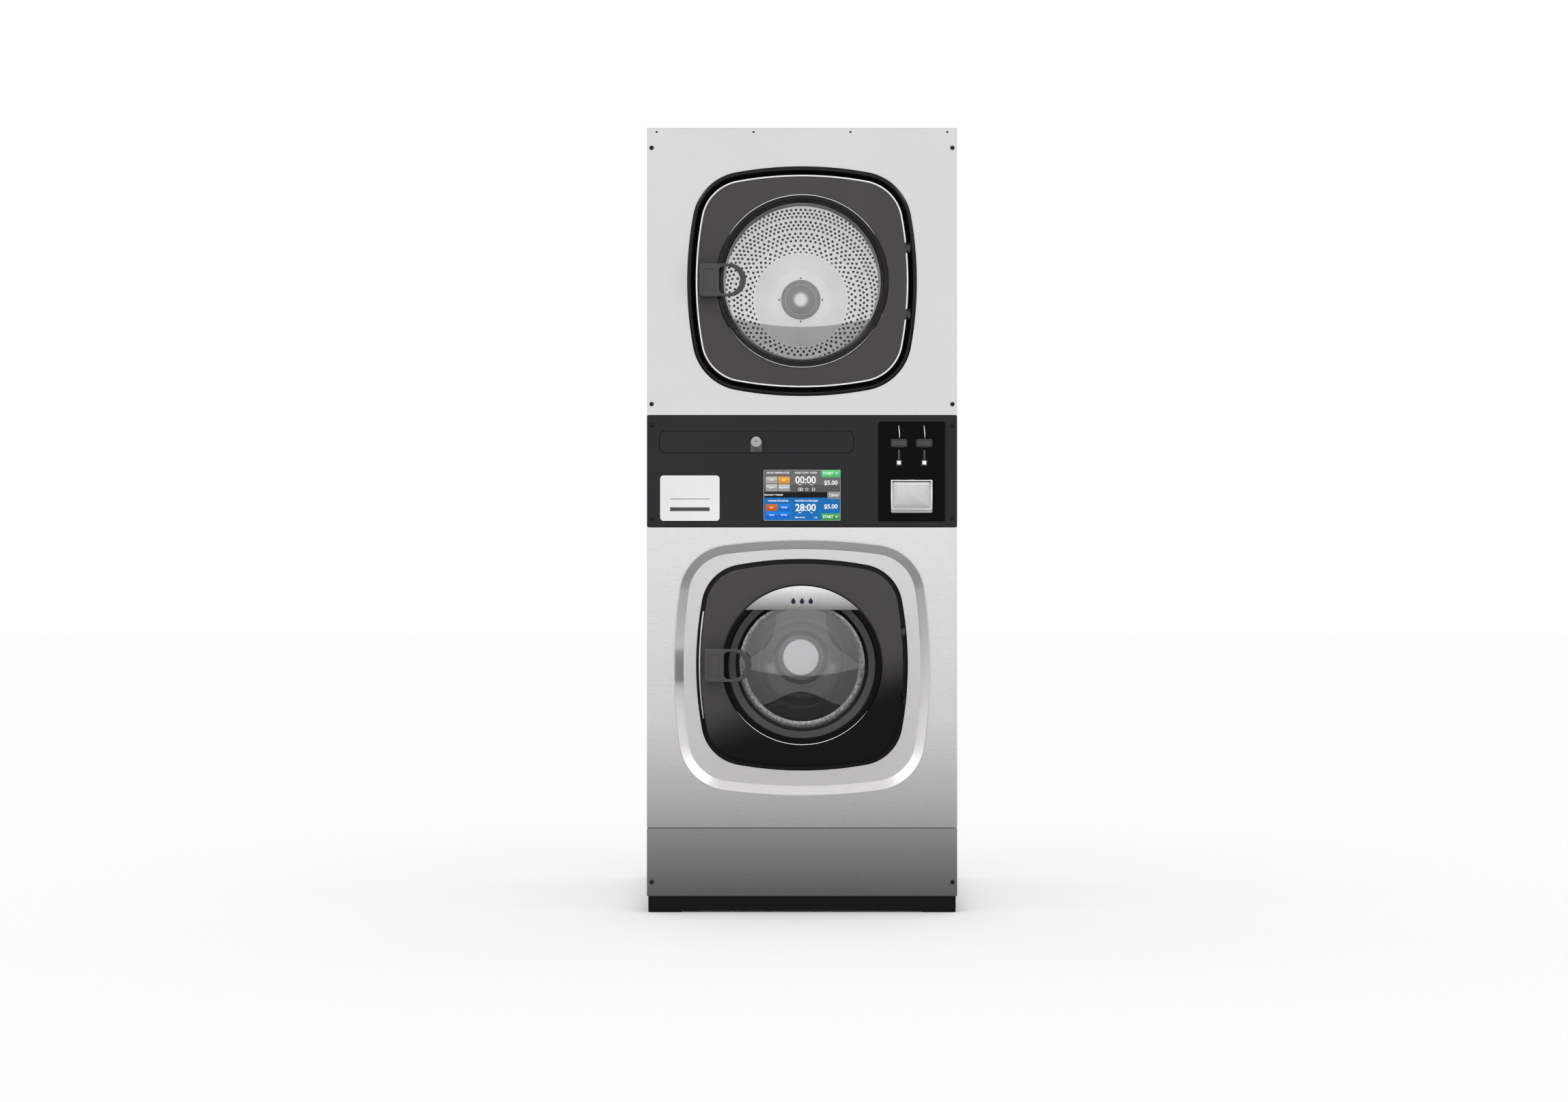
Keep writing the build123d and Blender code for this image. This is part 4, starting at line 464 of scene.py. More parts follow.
def washer_ring_abs():
    """Black ABS outside a circle and on the band inside a smaller one, charcoal ABS between them, each joint
    a circle.
    """
    material, tree, place = begin("two_shot_ring_abs")
    radius = from_axis(tree, place, washer_z)
    share = spread(tree, radius, 0, 1, 184.6 * mm, 185.4 * mm)
    rim = spread(tree, radius, 0, 1, 167.5 * mm, 169 * mm)
    inside = between(tree, rim, "#0A0A0A", "#474645")
    finish(tree, {
        "Base Color": between(tree, share, inside, "#050505"),
        "Roughness": spread(tree, grain(tree, place, 0.9 * mm, 3.0), 0.34, 0.44),
        "Specular IOR Level": 0.15,
    })
    return material


ring_abs = washer_ring_abs()
handle_nylon = moulding("handle_nylon", "#4A4948", "#434241", 0.7 * mm, 0.36, 0.4, 0.03 * mm)
white_abs = moulding("white_abs", "#EDEDED", "#E8E8E8", 0.9 * mm, 0.2, 0.4, 0.004 * mm)
grey_nylon = moulding("grey_nylon", "#4A4A49", "#3F3F3E", 0.9 * mm, 0.45, 0.35, 0.03 * mm)
service_nylon = moulding("service_nylon", "#1E1F21", "#2A2B2D", 1.0 * mm, 0.5, 0.35, 0.03 * mm)
plate_black = moulding("control_plate_black", "#070707", "#0A0A0A", 0.7 * mm, 0.55, 0.08, 0.01 * mm)
# Lenses are bright white and smooth, the vanes a flat dark grey, and the printed drops a plain deep blue.
lamp_white = moulding("lamp_white", "#FFFFFF", "#F6F6F6", 0.8 * mm, 0.2, 0.5, 0.003 * mm)
vane_abs = moulding("vane_abs", "#333333", "#2E2E2E", 0.9 * mm, 0.5, 0.2, 0.02 * mm)
navy_ink = moulding("navy_ink", "#14183C", "#181C42", 0.8 * mm, 0.4, 0.3, 0.003 * mm)
boot_rubber = moulding("epdm_rubber", "#1B1B1B", "#232323", 1.6 * mm, 0.72, 0.25, 0.06 * mm)
print("mouldings made")

# %% [markdown]
# ### Door glass
# Both panes are toughened soda-lime glass. Light passes straight through a thin pane, so it is a mix of a
# see-through shader and a glossy one, with Fresnel sharing out the gloss. Each pane also has a painted
# reflection: a soft zone with a curved edge, a smile across its face, painted darker below it, and on the
# washer with a light veil above it.


# %% Door panes
def pane(name, axis_z, drop, rise, above, below, painted_veil_above, coating):
    """The zone's edge is drop below the axis, and climbs by rise times the distance across squared. Below it
    the see-through colour is painted darker, and above it a painted veil of gloss is mixed in: a painted
    reflection.
    """
    material, tree, place = begin(name)
    parts = node(tree, "ShaderNodeSeparateXYZ", {0: place})
    lift = maths(tree, "MULTIPLY", maths(tree, "POWER", out(parts, "X"), 2.0), rise)
    level = maths(tree, "SUBTRACT", out(parts, "Z"), lift)
    # Painted reflection: share marks the pane above the smile edge.
    share = spread(tree, level, 0, 1, axis_z - drop - 1 * mm, axis_z - drop + 1 * mm)
    smear = spread(tree, grain(tree, place, 60 * mm, 3.0), 0.02, 0.05)
    clear = node(tree, "ShaderNodeBsdfTransparent", {"Color": between(tree, share, below, above)})
    gloss = node(tree, "ShaderNodeBsdfPrincipled", {
        "Base Color": linear("#F2F4F4"), "Roughness": smear, "Metallic": 1.0})
    painted_veil = maths(tree, "MULTIPLY", share, painted_veil_above)
    edge = maths(tree, "MULTIPLY", out(node(tree, "ShaderNodeFresnel", {"IOR": 1.45})), coating)
    amount = node(tree, "ShaderNodeMath", {0: painted_veil, 1: edge}, operation="ADD", use_clamp=True)
    mix = node(tree, "ShaderNodeMixShader", {0: out(amount), 1: out(clear), 2: out(gloss)})
    node(tree, "ShaderNodeOutputMaterial", {"Surface": out(mix)})
    return material


dryer_pane = pane("toughened_glass_dryer", dryer_z, 0.113, 0.75, "#FDFEFE", "#DCDDDE", 0.0, 0.6)
washer_pane = pane("toughened_glass_washer", washer_z, 0.030, 1.1, "#FAFBFB", "#F4F5F5", 0.09, 0.25)
print("glass made")


# %% [markdown]
# ### The display's light
# A screen makes its own light, so the material gives off the colour stored in ink and has a faint gloss.


# %% Lit display
def display_light():
    material, tree, place = begin("lit_display")
    smear = grain(tree, place, 30 * mm, 2.0)
    ink = out(node(tree, "ShaderNodeAttribute", attribute_name="ink"), "Color")
    finish(tree, {
        "Base Color": linear("#050505"),
        "Roughness": spread(tree, smear, 0.18, 0.3),
        "Specular IOR Level": 0.2,
        "Emission Color": ink,
        "Emission Strength": 0.92,
    })
    return material


lit_display = display_light()
print("materials in all:", len(bpy.data.materials))

# %% [markdown]
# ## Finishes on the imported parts
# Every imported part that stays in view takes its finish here. Its mesh is loose triangles, so a curved face
# would show its facets. One node tree welds them in passing and smooths every edge that turns gently,
# and the part's own mesh stays as it is.


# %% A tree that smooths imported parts
def new_tree(name, sockets):
    """Geometry node tree with a geometry input, these named inputs, and one output."""
    tree = bpy.data.node_groups.new(name, "GeometryNodeTree")
    tree.interface.new_socket("Geometry", in_out="INPUT", socket_type="NodeSocketGeometry")
    for label, kind in sockets:
        tree.interface.new_socket(label, in_out="INPUT", socket_type="NodeSocket" + kind)
    tree.interface.new_socket("Geometry", in_out="OUTPUT", socket_type="NodeSocketGeometry")
    return tree, node(tree, "NodeGroupInput")


def use_tree(obj, tree, values):
    """Add the tree to obj, with each input set by its identifier."""
    modifier = obj.modifiers.new(tree.name, "NODES")
    modifier.node_group = tree
    for socket in tree.interface.items_tree:
        if socket.in_out == "INPUT" and socket.name in values:
            modifier[socket.identifier] = values[socket.name]
    return modifier


smoothing, given = new_tree("smooth_gentle_edges", [("Weld distance", "Float"), ("Sharpest turn", "Float")])
welded = out(node(smoothing, "GeometryNodeMergeByDistance", {
    "Geometry": out(given, "Geometry"), "Distance": out(given, "Weld distance")}))
turn = out(node(smoothing, "GeometryNodeInputMeshEdgeAngle"), "Unsigned Angle")
gentle = out(node(smoothing, "FunctionNodeCompare", {
    0: turn, 1: out(given, "Sharpest turn")}, data_type="FLOAT", operation="LESS_THAN"))
faces_smooth = out(node(smoothing, "GeometryNodeSetShadeSmooth", {"Geometry": welded}, domain="FACE"))
edges_smooth = out(node(smoothing, "GeometryNodeSetShadeSmooth", {
    "Geometry": faces_smooth, "Shade Smooth": gentle}, domain="EDGE"))
node(smoothing, "NodeGroupOutput", {"Geometry": edges_smooth})
smooth_values = {"Weld distance": 0.002 * mm, "Sharpest turn": math.radians(28)}
print("smoothing tree:", len(smoothing.nodes), "nodes")

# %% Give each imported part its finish
finishes = (
    (grey_powder_coat, "dryer_front_panel top_panel left_side_panel right_side_panel"),
    (galvanised_sheet, "rear_panel_lower rear_panel_upper chassis_frame heater_box blower_housing"),
    (smoked_steel, "dryer_tub"),
    (brushed_stainless, "washer_front_panel kick_panel"),
    (satin_stainless, "washer_bezel"),
    (charcoal_powder_coat, "control_panel lint_drawer"),
    (black_enamel, "base_frame anchor_feet"),
    (charcoal_abs, "dryer_door_frame"),
    (washer_door_painted_reflection_abs, "washer_door_frame"),
    (black_abs, "dryer_bezel washer_door_well dryer_door_ring"),
    (ring_abs, "washer_door_ring"),
    (plate_black, "coin_plate coin_acceptors touch_display"),
    (handle_nylon, "washer_door_handle dryer_door_handle"),
    (polished_chrome, "dryer_door_trim"),
    (badge_silver, "badge_plate"),
    (satin_anodised, "coin_vault coin_vault_lock lint_lock_barrel"),
    (dryer_pane, "dryer_door_glass"),
    (washer_pane, "washer_door_glass"),
    (boot_rubber, "washer_gasket dryer_door_seal drive_belts"),
    (drum_stainless, "washer_drum washer_tub dryer_drum lint_screen"),
    (grey_nylon, "dryer_drum_lifters washer_drum_lifters"),
    (zinc_plate, "washer_drum_shaft dryer_drum_shaft washer_motor_pulley dryer_motor_pulley blower_wheel"),
    (cast_iron, "bearing_housings"),
    (cast_aluminium, "drive_motors"),
    (black_oxide, "panel_screws door_hinges"),
    (white_abs, "card_reader"),
    (service_nylon, "water_inlet_valves drain_valve terminal_box washer_door_lock"),
    (grey_nylon, "coin_reject_button_left coin_reject_button_right"),
)
finished_names = []
for material, names in finishes:
    for name in names.split():
        finished_names.append(name)
        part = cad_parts[name]
        part.data.materials.clear()
        part.data.materials.append(material)
        use_tree(part, smoothing, smooth_values)
        # Large flat faces set the normals, so a flat panel stays flat up to its rounded edge.
        flatten = part.modifiers.new("flat_faces_rule", "WEIGHTED_NORMAL")
        flatten.mode = "FACE_AREA"
        flatten.keep_sharp = True
print("packed parts without a finish:", sorted(set(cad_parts) - set(finished_names)))

# %% [markdown]
# ## Making shapes from loops
# Nearly every piece on this machine is a run of closed loops: a turned ring is circles, a fascia is rounded
# rectangles. So one function joins loops into a skin, and small functions make the loops. It suits parts
# like these better than pushing a primitive about, because each loop carries a real size.


# %% Loops and skins
def circle(radius, depth, x=0.0, z=0.0, steps=96):
    turns = [2 * math.pi * i / steps for i in range(steps)]
    return [(x + radius * math.cos(a), front_y + depth, z + radius * math.sin(a)) for a in turns]


def round_box(width, height, corner, depth, x, z, steps=6):
    """Rounded rectangle that faces the user."""
    loop = []
    for quarter, (side, up) in enumerate(((1, 1), (-1, 1), (-1, -1), (1, -1))):
        centre_x = x + side * (width / 2 - corner)
        centre_z = z + up * (height / 2 - corner)
        for i in range(steps + 1):
            a = math.pi / 2 * (quarter + i / steps)
            loop.append((centre_x + corner * math.cos(a), front_y + depth, centre_z + corner * math.sin(a)))
    return loop


def skin(loops, closed=False):
    """Vertices and faces of a tube of loops. An open tube has both ends capped."""
    count = len(loops[0])
    spans = len(loops) if closed else len(loops) - 1
    faces = [
        (a * count + i, a * count + (i + 1) % count, b * count + (i + 1) % count, b * count + i)
        for a in range(spans) for b in [(a + 1) % len(loops)] for i in range(count)
    ]
    if not closed:
        faces += [tuple(range(count)), tuple(range((len(loops) - 1) * count, len(loops) * count))]
    return [point for loop in loops for point in loop], faces


def lathe(rows, z, x=0.0, steps=96):
    """Skin of a profile turned round an axis that runs front to back. A row is a depth and a radius."""
    return skin([circle(radius, depth, x, z, steps) for depth, radius in rows], closed=True)


def mesh_of(name, skins, crease=30):
    """Welded mesh of these skins, faces out, smooth except where it turns by more than crease."""
    made = bmesh.new()
    for points, faces in skins:
        corners = [made.verts.new(p) for p in points]
        for face in faces:
            made.faces.new([corners[i] for i in face])
    bmesh.ops.remove_doubles(made, verts=made.verts, dist=0.001 * mm)
    bmesh.ops.recalc_face_normals(made, faces=made.faces)
    mesh = bpy.data.meshes.new(name)
    made.to_mesh(mesh)
    made.free()
    mesh.shade_smooth()
    mesh.set_sharp_from_angle(angle=math.radians(crease))
    return mesh


def settle(mesh, body, material=None, stands_for=()):
    """Make the mesh a piece that rides on a body."""
    obj = bpy.data.objects.new(mesh.name, mesh)
    bpy.context.scene.collection.objects.link(obj)
    if material:
        mesh.materials.append(material)
    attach(obj, body)
    if stands_for:
        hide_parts(*stands_for)
    return obj


def eased_box(width, height, corner, front, back, x, z, ease):
    """Rounded slab between two depths whose front edge is eased."""
    sizes = ((back, 0.0), (front + ease, 0.0), (front + 0.3 * ease, 0.3 * ease), (front, ease))
    return skin([
        round_box(width - 2 * cut, height - 2 * cut, max(corner - cut, 0.05 * mm), depth, x, z)
        for depth, cut in sizes])


def frame_box(width, height, corner, band, front, back, x, z, ease):
    """Picture-frame ring: a rounded rectangle with a rounded hole, both front edges eased."""
    rows = [(0.0, back), (0.0, front + ease), (ease, front), (band - ease, front), (band, front + ease),
            (band, back)]
    return skin([
        round_box(width - 2 * cut, height - 2 * cut, max(corner - cut, 0.2 * mm), depth, x, z)
        for cut, depth in rows], closed=True)


print("loop tools ready")

# %% [markdown]
# ## Perforated drums
# A drum's sheet is punched before it is rolled, so its holes are real and you can see through them. A
# texture of dots would look flat from inside. Here one square tile with a hole is copied over a flat
# sheet of rows and columns, and the tree then bends that sheet into a tube, or into rings round the axis.
# The dryer's back is punched in bands of three rows, and each band has as many columns as fit it.


# %% One tile with a hole
def tile(across, up, points):
    """Unit square round the origin with a hole, as wide and high as these shares of the square."""
    made = bmesh.new()
    rim, hole = [], []
    for i in range(points):
        a = 2 * math.pi * i / points
        reach = 0.5 / max(abs(math.cos(a)), abs(math.sin(a)))
        rim.append(made.verts.new((reach * math.cos(a), reach * math.sin(a), 0)))
        hole.append(made.verts.new((across / 2 * math.cos(a), up / 2 * math.sin(a), 0)))
    for i in range(points):
        j = (i + 1) % points
        made.faces.new((rim[i], rim[j], hole[j], hole[i]))
    mesh = bpy.data.meshes.new("tile")
    made.to_mesh(mesh)
    made.free()
    return bpy.data.objects.new("tile", mesh)


print("tile tool ready")

# %% The tree that punches and rolls a sheet
sockets = [("Tile", "Object"), ("Columns", "Int"), ("Rows", "Int"), ("Start", "Float"), ("Pitch", "Float"),
           ("Roll radius", "Float"), ("Rolled", "Bool"), ("Sheet", "Float"), ("Finish", "Material")]
punching, given = new_tree("punched_sheet", sockets)
columns = out(given, "Columns")
count = maths(punching, "MULTIPLY", columns, out(given, "Rows"))
spots = out(node(punching, "GeometryNodePoints", {"Count": count}))
share = maths(punching, "DIVIDE", out(node(punching, "GeometryNodeInputIndex")), columns)
row = maths(punching, "FLOOR", maths(punching, "ADD", share, 0.0001))
column = maths(punching, "MULTIPLY", maths(punching, "SUBTRACT", share, row), columns)
shifted = maths(punching, "MULTIPLY_ADD", maths(punching, "MODULO", row, 2.0), 0.5, column)
laid = out(node(punching, "GeometryNodeSetPosition", {
    "Geometry": spots, "Position": out(node(punching, "ShaderNodeCombineXYZ", {0: shifted, 1: row}))}))
punch = out(node(punching, "GeometryNodeObjectInfo", {"Object": out(given, "Tile")}), "Geometry")
copies = out(node(punching, "GeometryNodeInstanceOnPoints", {"Points": laid, "Instance": punch}))
sheet = out(node(punching, "GeometryNodeRealizeInstances", {"Geometry": copies}))
flat = node(punching, "ShaderNodeSeparateXYZ", {0: out(node(punching, "GeometryNodeInputPosition"))})
whole_turn = 2 * math.pi
angle = maths(punching, "DIVIDE", maths(punching, "MULTIPLY", out(flat, "X"), whole_turn), columns)
rows_along = maths(punching, "ADD", out(flat, "Y"), 0.5)
along = maths(punching, "MULTIPLY_ADD", rows_along, out(given, "Pitch"), out(given, "Start"))
sine = maths(punching, "SINE", angle)
cosine = maths(punching, "COSINE", angle)
places = []
for radius, depth in ((along, 0.0), (out(given, "Roll radius"), along)):
    side = maths(punching, "MULTIPLY", sine, radius)
    up = maths(punching, "MULTIPLY", cosine, radius)
    places.append(out(node(punching, "ShaderNodeCombineXYZ", {0: side, 1: depth, 2: up})))
bent = out(node(punching, "GeometryNodeSwitch", {
    "Switch": out(given, "Rolled"), "False": places[0], "True": places[1]}, input_type="VECTOR"))
rolled = out(node(punching, "GeometryNodeSetPosition", {"Geometry": sheet, "Position": bent}))
welded = out(node(punching, "GeometryNodeMergeByDistance", {"Geometry": rolled, "Distance": 0.01 * mm}))
outer = out(node(punching, "GeometryNodeExtrudeMesh", {
    "Mesh": welded, "Offset Scale": out(given, "Sheet"), "Individual": False}))
inner = out(node(punching, "GeometryNodeFlipFaces", {"Mesh": welded}))
both = node(punching, "GeometryNodeJoinGeometry")
for half in (outer, inner):
    punching.links.new(half, both.inputs[0])
solid = out(node(punching, "GeometryNodeMergeByDistance", {"Geometry": out(both), "Distance": 0.01 * mm}))
real = out(node(punching, "GeometryNodeRealizeInstances", {"Geometry": solid}))
finished = out(node(punching, "GeometryNodeSetMaterial", {
    "Geometry": real, "Material": out(given, "Finish")}))
node(punching, "NodeGroupOutput", {"Geometry": finished})
print("punching tree:", len(punching.nodes), "nodes")


def grown(tree, values, points=((0, 0, 0),)):
    """Plain mesh of what the tree makes from a cloud of points."""
    seeds = bpy.data.meshes.new(tree.name)
    seeds.from_pydata(points, [], [])
    holder = bpy.data.objects.new(tree.name, seeds)
    bpy.context.scene.collection.objects.link(holder)
    use_tree(holder, tree, values)
    graph = bpy.context.evaluated_depsgraph_get()
    mesh = bpy.data.meshes.new_from_object(holder.evaluated_get(graph), depsgraph=graph)
    bpy.data.objects.remove(holder)
    return mesh


def merged(name, parts, material, crease=30):
    """One mesh of several in one finish, each with its own shift, smooth except at creases."""
    made = bmesh.new()
    for mesh, shift in parts:
        mesh.transform(Matrix.Translation(shift))
        made.from_mesh(mesh)
    for face in made.faces:
        face.material_index = 0
    bmesh.ops.recalc_face_normals(made, faces=made.faces)
    mesh = bpy.data.meshes.new(name)
    made.to_mesh(mesh)
    made.free()
    mesh.materials.append(material)
    mesh.shade_smooth()
    mesh.set_sharp_from_angle(angle=math.radians(crease))
    return mesh


# %% The dryer's drum
drum_sheet = 1.5 * mm
drum_low, drum_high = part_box("dryer_drum")
drum_r = (drum_high.x - drum_low.x) / 2
drum_front = drum_low.y - front_y
drum_back = drum_high.y - front_y
mouth_r = 238 * mm
cone_r, hub_r, cone_rise = 125.6 * mm, 79 * mm, 20 * mm
hole_width = 7.2 * mm
row_pitch = 9.45 * mm
band_rows = 3
plain_gap = 4.05 * mm
parts, gaps = [], []
for group in range(6):
    start = cone_r + group * (band_rows * row_pitch + plain_gap)
    end = start + band_rows * row_pitch
    columns = 54 + round(22.4 * group)
    column_pitch = 2 * math.pi * (start + end) / 2 / columns
    band = grown(punching, {
        "Tile": tile(hole_width / column_pitch, hole_width / row_pitch, 16 if group < 4 else 8),
        "Columns": columns, "Rows": band_rows, "Start": start, "Pitch": row_pitch,
        "Roll radius": drum_r, "Rolled": False, "Sheet": drum_sheet, "Finish": drum_stainless})
    parts.append((band, Vector((0, front_y + drum_back - drum_sheet - 1 * mm, dryer_z))))
    gaps.append((end, end + plain_gap if group < 5 else drum_r - 5 * mm))
perforated = merged("dryer_drum_back", parts, drum_stainless)
back_depth = drum_back - 2 * mm
shell = [
    (drum_back, drum_r), (drum_back, drum_r - 7 * mm), (back_depth, drum_r - 7 * mm),
    (back_depth, drum_r - drum_sheet), (drum_front + drum_sheet, drum_r - drum_sheet),
    (drum_front + drum_sheet, mouth_r + 4 * mm), (drum_front + 10 * mm, mouth_r + 2 * mm),
    (drum_front + 10 * mm, mouth_r), (drum_front + 2 * mm, mouth_r),
    (drum_front, mouth_r + 3 * mm), (drum_front, drum_r - 2 * mm), (drum_front + 2 * mm, drum_r),
]
cone = [
    (back_depth, cone_r + 4 * mm), (back_depth - cone_rise * 0.08, cone_r),
    (back_depth - cone_rise * 0.92, hub_r + 3 * mm),
    (back_depth - cone_rise, hub_r), (back_depth - cone_rise, 0.0), (drum_back - cone_rise, 0.0),
    (drum_back - cone_rise, hub_r), (drum_back, cone_r), (drum_back, cone_r + 4 * mm),
]
plain = (drum_back - 2.5 * mm, drum_back - 1 * mm)
rings = [[(plain[0], r0), (plain[0], r1), (plain[1], r1), (plain[1], r0)] for r0, r1 in gaps]
turned = [lathe(rows, dryer_z) for rows in (shell, cone, *rings)]
settle(perforated, "dryer_drum")
settle(mesh_of("dryer_drum_shell", turned), "dryer_drum", drum_stainless, ["dryer_drum"])
print("dryer drum:", len(perforated.polygons), "faces in its punched back")

# %% [markdown]
# ### The hub's cap
# A spun aluminium cap hides the nut on the drum's shaft. It is dished a little, with a fine ridge near its
# rim that catches the light, where a painted highlight adds a bright line, and its crown is lighter.

# %% The cap on the dryer's hub
cap_r, cap_rise = 53 * mm, 9 * mm
hub_depth = back_depth - cone_rise
cap_front = hub_depth - cap_rise
cap_rows = (
    (hub_depth, 0.0), (hub_depth, cap_r), (cap_front + 1.5 * mm, cap_r), (cap_front, cap_r - 1.5 * mm),
    (cap_front, 43 * mm), (cap_front - 0.6 * mm, 42 * mm), (cap_front, 41 * mm),
    (cap_front + 0.5 * mm, 25 * mm), (cap_front + 1.5 * mm, 10 * mm), (cap_front + 2 * mm, 0.0),
)
cap = mesh_of("dryer_hub_cap", [lathe(cap_rows, dryer_z)])
settle(cap, "dryer_drum", spun_aluminium)
print("hub cap stands at", round(cap_front / mm, 1), "mm")

# %% [markdown]
# ### The washer's drum
# It is the same kind of sheet, rolled into a tube. Its back is a pressed plate with a flat hub and three
# moulded vanes, and its front curls in to the mouth, so wet cloth meets no sharp edge.

# %% The washer's drum
tub_sheet = 2.0 * mm
low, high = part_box("washer_drum")
tube_r = (high.x - low.x) / 2
tube_front = low.y - front_y + 30 * mm
tube_back = high.y - front_y - 12 * mm
tube_rows = 24
tube_pitch = (tube_back - tube_front) / tube_rows
tube_columns = round(2 * math.pi * tube_r / tube_pitch)
tube = grown(punching, {
    "Tile": tile(0.26, 0.26, 8), "Columns": tube_columns, "Rows": tube_rows, "Start": front_y + tube_front,
    "Pitch": tube_pitch, "Roll radius": tube_r - tub_sheet, "Rolled": True, "Sheet": tub_sheet,
    "Finish": washer_drum_steel})
wall = merged("washer_drum_wall", [(tube, Vector((0, 0, washer_z)))], washer_drum_steel)
settle(wall, "washer_drum")
front_depth = low.y - front_y
back_face = high.y - front_y
washer_mouth_r = 205 * mm
front_rows = (
    (tube_front, tube_r), (front_depth + 14 * mm, tube_r), (front_depth + 3 * mm, tube_r - 6 * mm),
    (front_depth, tube_r - 16 * mm), (front_depth, washer_mouth_r + 7 * mm),
    (front_depth + 2 * mm, washer_mouth_r + 2 * mm), (front_depth + 9 * mm, washer_mouth_r),
    (front_depth + 15 * mm, washer_mouth_r + 2 * mm), (front_depth + 12 * mm, washer_mouth_r + 5 * mm),
    (front_depth + 4 * mm, washer_mouth_r + 8 * mm), (front_depth + 4 * mm, tube_r - 18 * mm),
    (front_depth + 15 * mm, tube_r - tub_sheet), (tube_front, tube_r - tub_sheet),
)
plate_front = back_face - 6 * mm
washer_hub_r, ridge = 62 * mm, 9 * mm
back_rows = (
    (tube_back, tube_r), (back_face - 3 * mm, tube_r), (back_face, tube_r - 4 * mm), (back_face, 0.0),
    (plate_front - ridge, 0.0), (plate_front - ridge, washer_hub_r), (plate_front, washer_hub_r + 12 * mm),
    (plate_front, 0.44 * tube_r), (plate_front - ridge, 0.50 * tube_r), (plate_front - ridge, 0.72 * tube_r),
    (plate_front, 0.78 * tube_r), (plate_front, tube_r - 8 * mm), (plate_front - 5 * mm, tube_r - tub_sheet),
    (tube_back, tube_r - tub_sheet),
)
ends = mesh_of("washer_drum_ends", [lathe(rows, washer_z) for rows in (front_rows, back_rows)])
settle(ends, "washer_drum", washer_drum_steel, ["washer_drum"])
boss_front = plate_front - ridge - 12 * mm
boss_rows = (
    (plate_front - ridge, 0.0), (plate_front - ridge, 49 * mm), (boss_front + 2 * mm, 49 * mm),
    (boss_front, 47 * mm), (boss_front, 0.0),
)
boss = mesh_of("washer_hub_cap", [lathe(boss_rows, washer_z)])
settle(boss, "washer_drum", white_abs)
vanes = []
vane_half, vane_inner, vane_drop, vane_outer = 118 * mm, 94 * mm, 36 * mm, 200 * mm
vane_front, vane_back = plate_front - 45 * mm, plate_front + 1 * mm
for turn_deg in (-90, 30, 150):
    out_x, out_z = math.cos(math.radians(turn_deg)), math.sin(math.radians(turn_deg))
    loops = []
    for i in range(25):
        u = vane_half * (2 * i / 24 - 1)
        near = vane_inner + vane_drop * (1 - math.cos(math.pi * u / vane_half)) / 2
        far = math.sqrt(vane_outer ** 2 - u ** 2)
        section = ((near, vane_back), (near, vane_front + 6 * mm), (near + 6 * mm, vane_front),
                   (far, vane_front), (far, vane_back))
        loops.append([(v * out_x - u * out_z, front_y + d, washer_z + v * out_z + u * out_x)
                      for v, d in section])
    vanes.append(skin(loops))
settle(mesh_of("washer_drum_vanes", vanes), "washer_drum", vane_abs)
print("washer drum:", tube_columns, "columns of holes,", tube_rows, "rows")

# %% [markdown]
# ## Fasteners and louvres
# Screws, bolts and louvres are one shape set down many times. A tree puts a copy on every point of a cloud
# and can turn each copy by chance, because nobody lines up the sockets of screws. The clouds are real
# places: the corners of the front panels, the hub's bolt circle, and the edges of the rear panels.

# %% The tree that sets copies on points
setting, given = new_tree("set_on_points", [
    ("Shape", "Object"), ("Largest turn", "Float"), ("Seed", "Int"), ("Finish", "Material")])
chance = out(node(setting, "FunctionNodeRandomValue", {
    2: 0.0, 3: out(given, "Largest turn"), 8: out(given, "Seed")}), 1)
shape = out(node(setting, "GeometryNodeObjectInfo", {"Object": out(given, "Shape")}), "Geometry")
copies = out(node(setting, "GeometryNodeInstanceOnPoints", {
    "Points": out(given, "Geometry"), "Instance": shape,
    "Rotation": out(node(setting, "ShaderNodeCombineXYZ", {1: chance}))}))
real = out(node(setting, "GeometryNodeRealizeInstances", {"Geometry": copies}))
done = out(node(setting, "GeometryNodeSetMaterial", {"Geometry": real, "Material": out(given, "Finish")}))
node(setting, "NodeGroupOutput", {"Geometry": done})
print("setting tree:", len(setting.nodes), "nodes")


def screw_head(radius, rise, socket, facing=-1):
    """Low dome with a hexagon socket. It faces the user, or the rear when facing is 1."""
    rows = ((radius, 0, 0), (radius, 0.4, 0), (0.82 * radius, 0.85, 0), (0.6 * radius, 1.0, 0),
            (socket, 1.0, 1), (socket, 0.35, 1))
    loops = []
    for reach, share, hexagonal in rows:
        loop = []
        for i in range(24):
            a = 2 * math.pi * i / 24
            off = a % (math.pi / 3) - math.pi / 6
            r = reach * (math.cos(math.pi / 6) / math.cos(off) if hexagonal else 1)
            loop.append((r * math.cos(a), facing * rise * share, r * math.sin(a)))
        loops.append(loop)
    return bpy.data.objects.new("screw_head", mesh_of("screw_head", [skin(loops)]))


def set_pieces(name, shape, points, material, seed, body="root", turn=math.pi,
               stands_for=()):
    """One piece of the shape set on these points."""
    values = {"Shape": shape, "Largest turn": turn, "Seed": seed, "Finish": material}
    mesh = merged(name, [(grown(setting, values, points), Vector((0, 0, 0)))], material)
    return settle(mesh, body, None, stands_for)


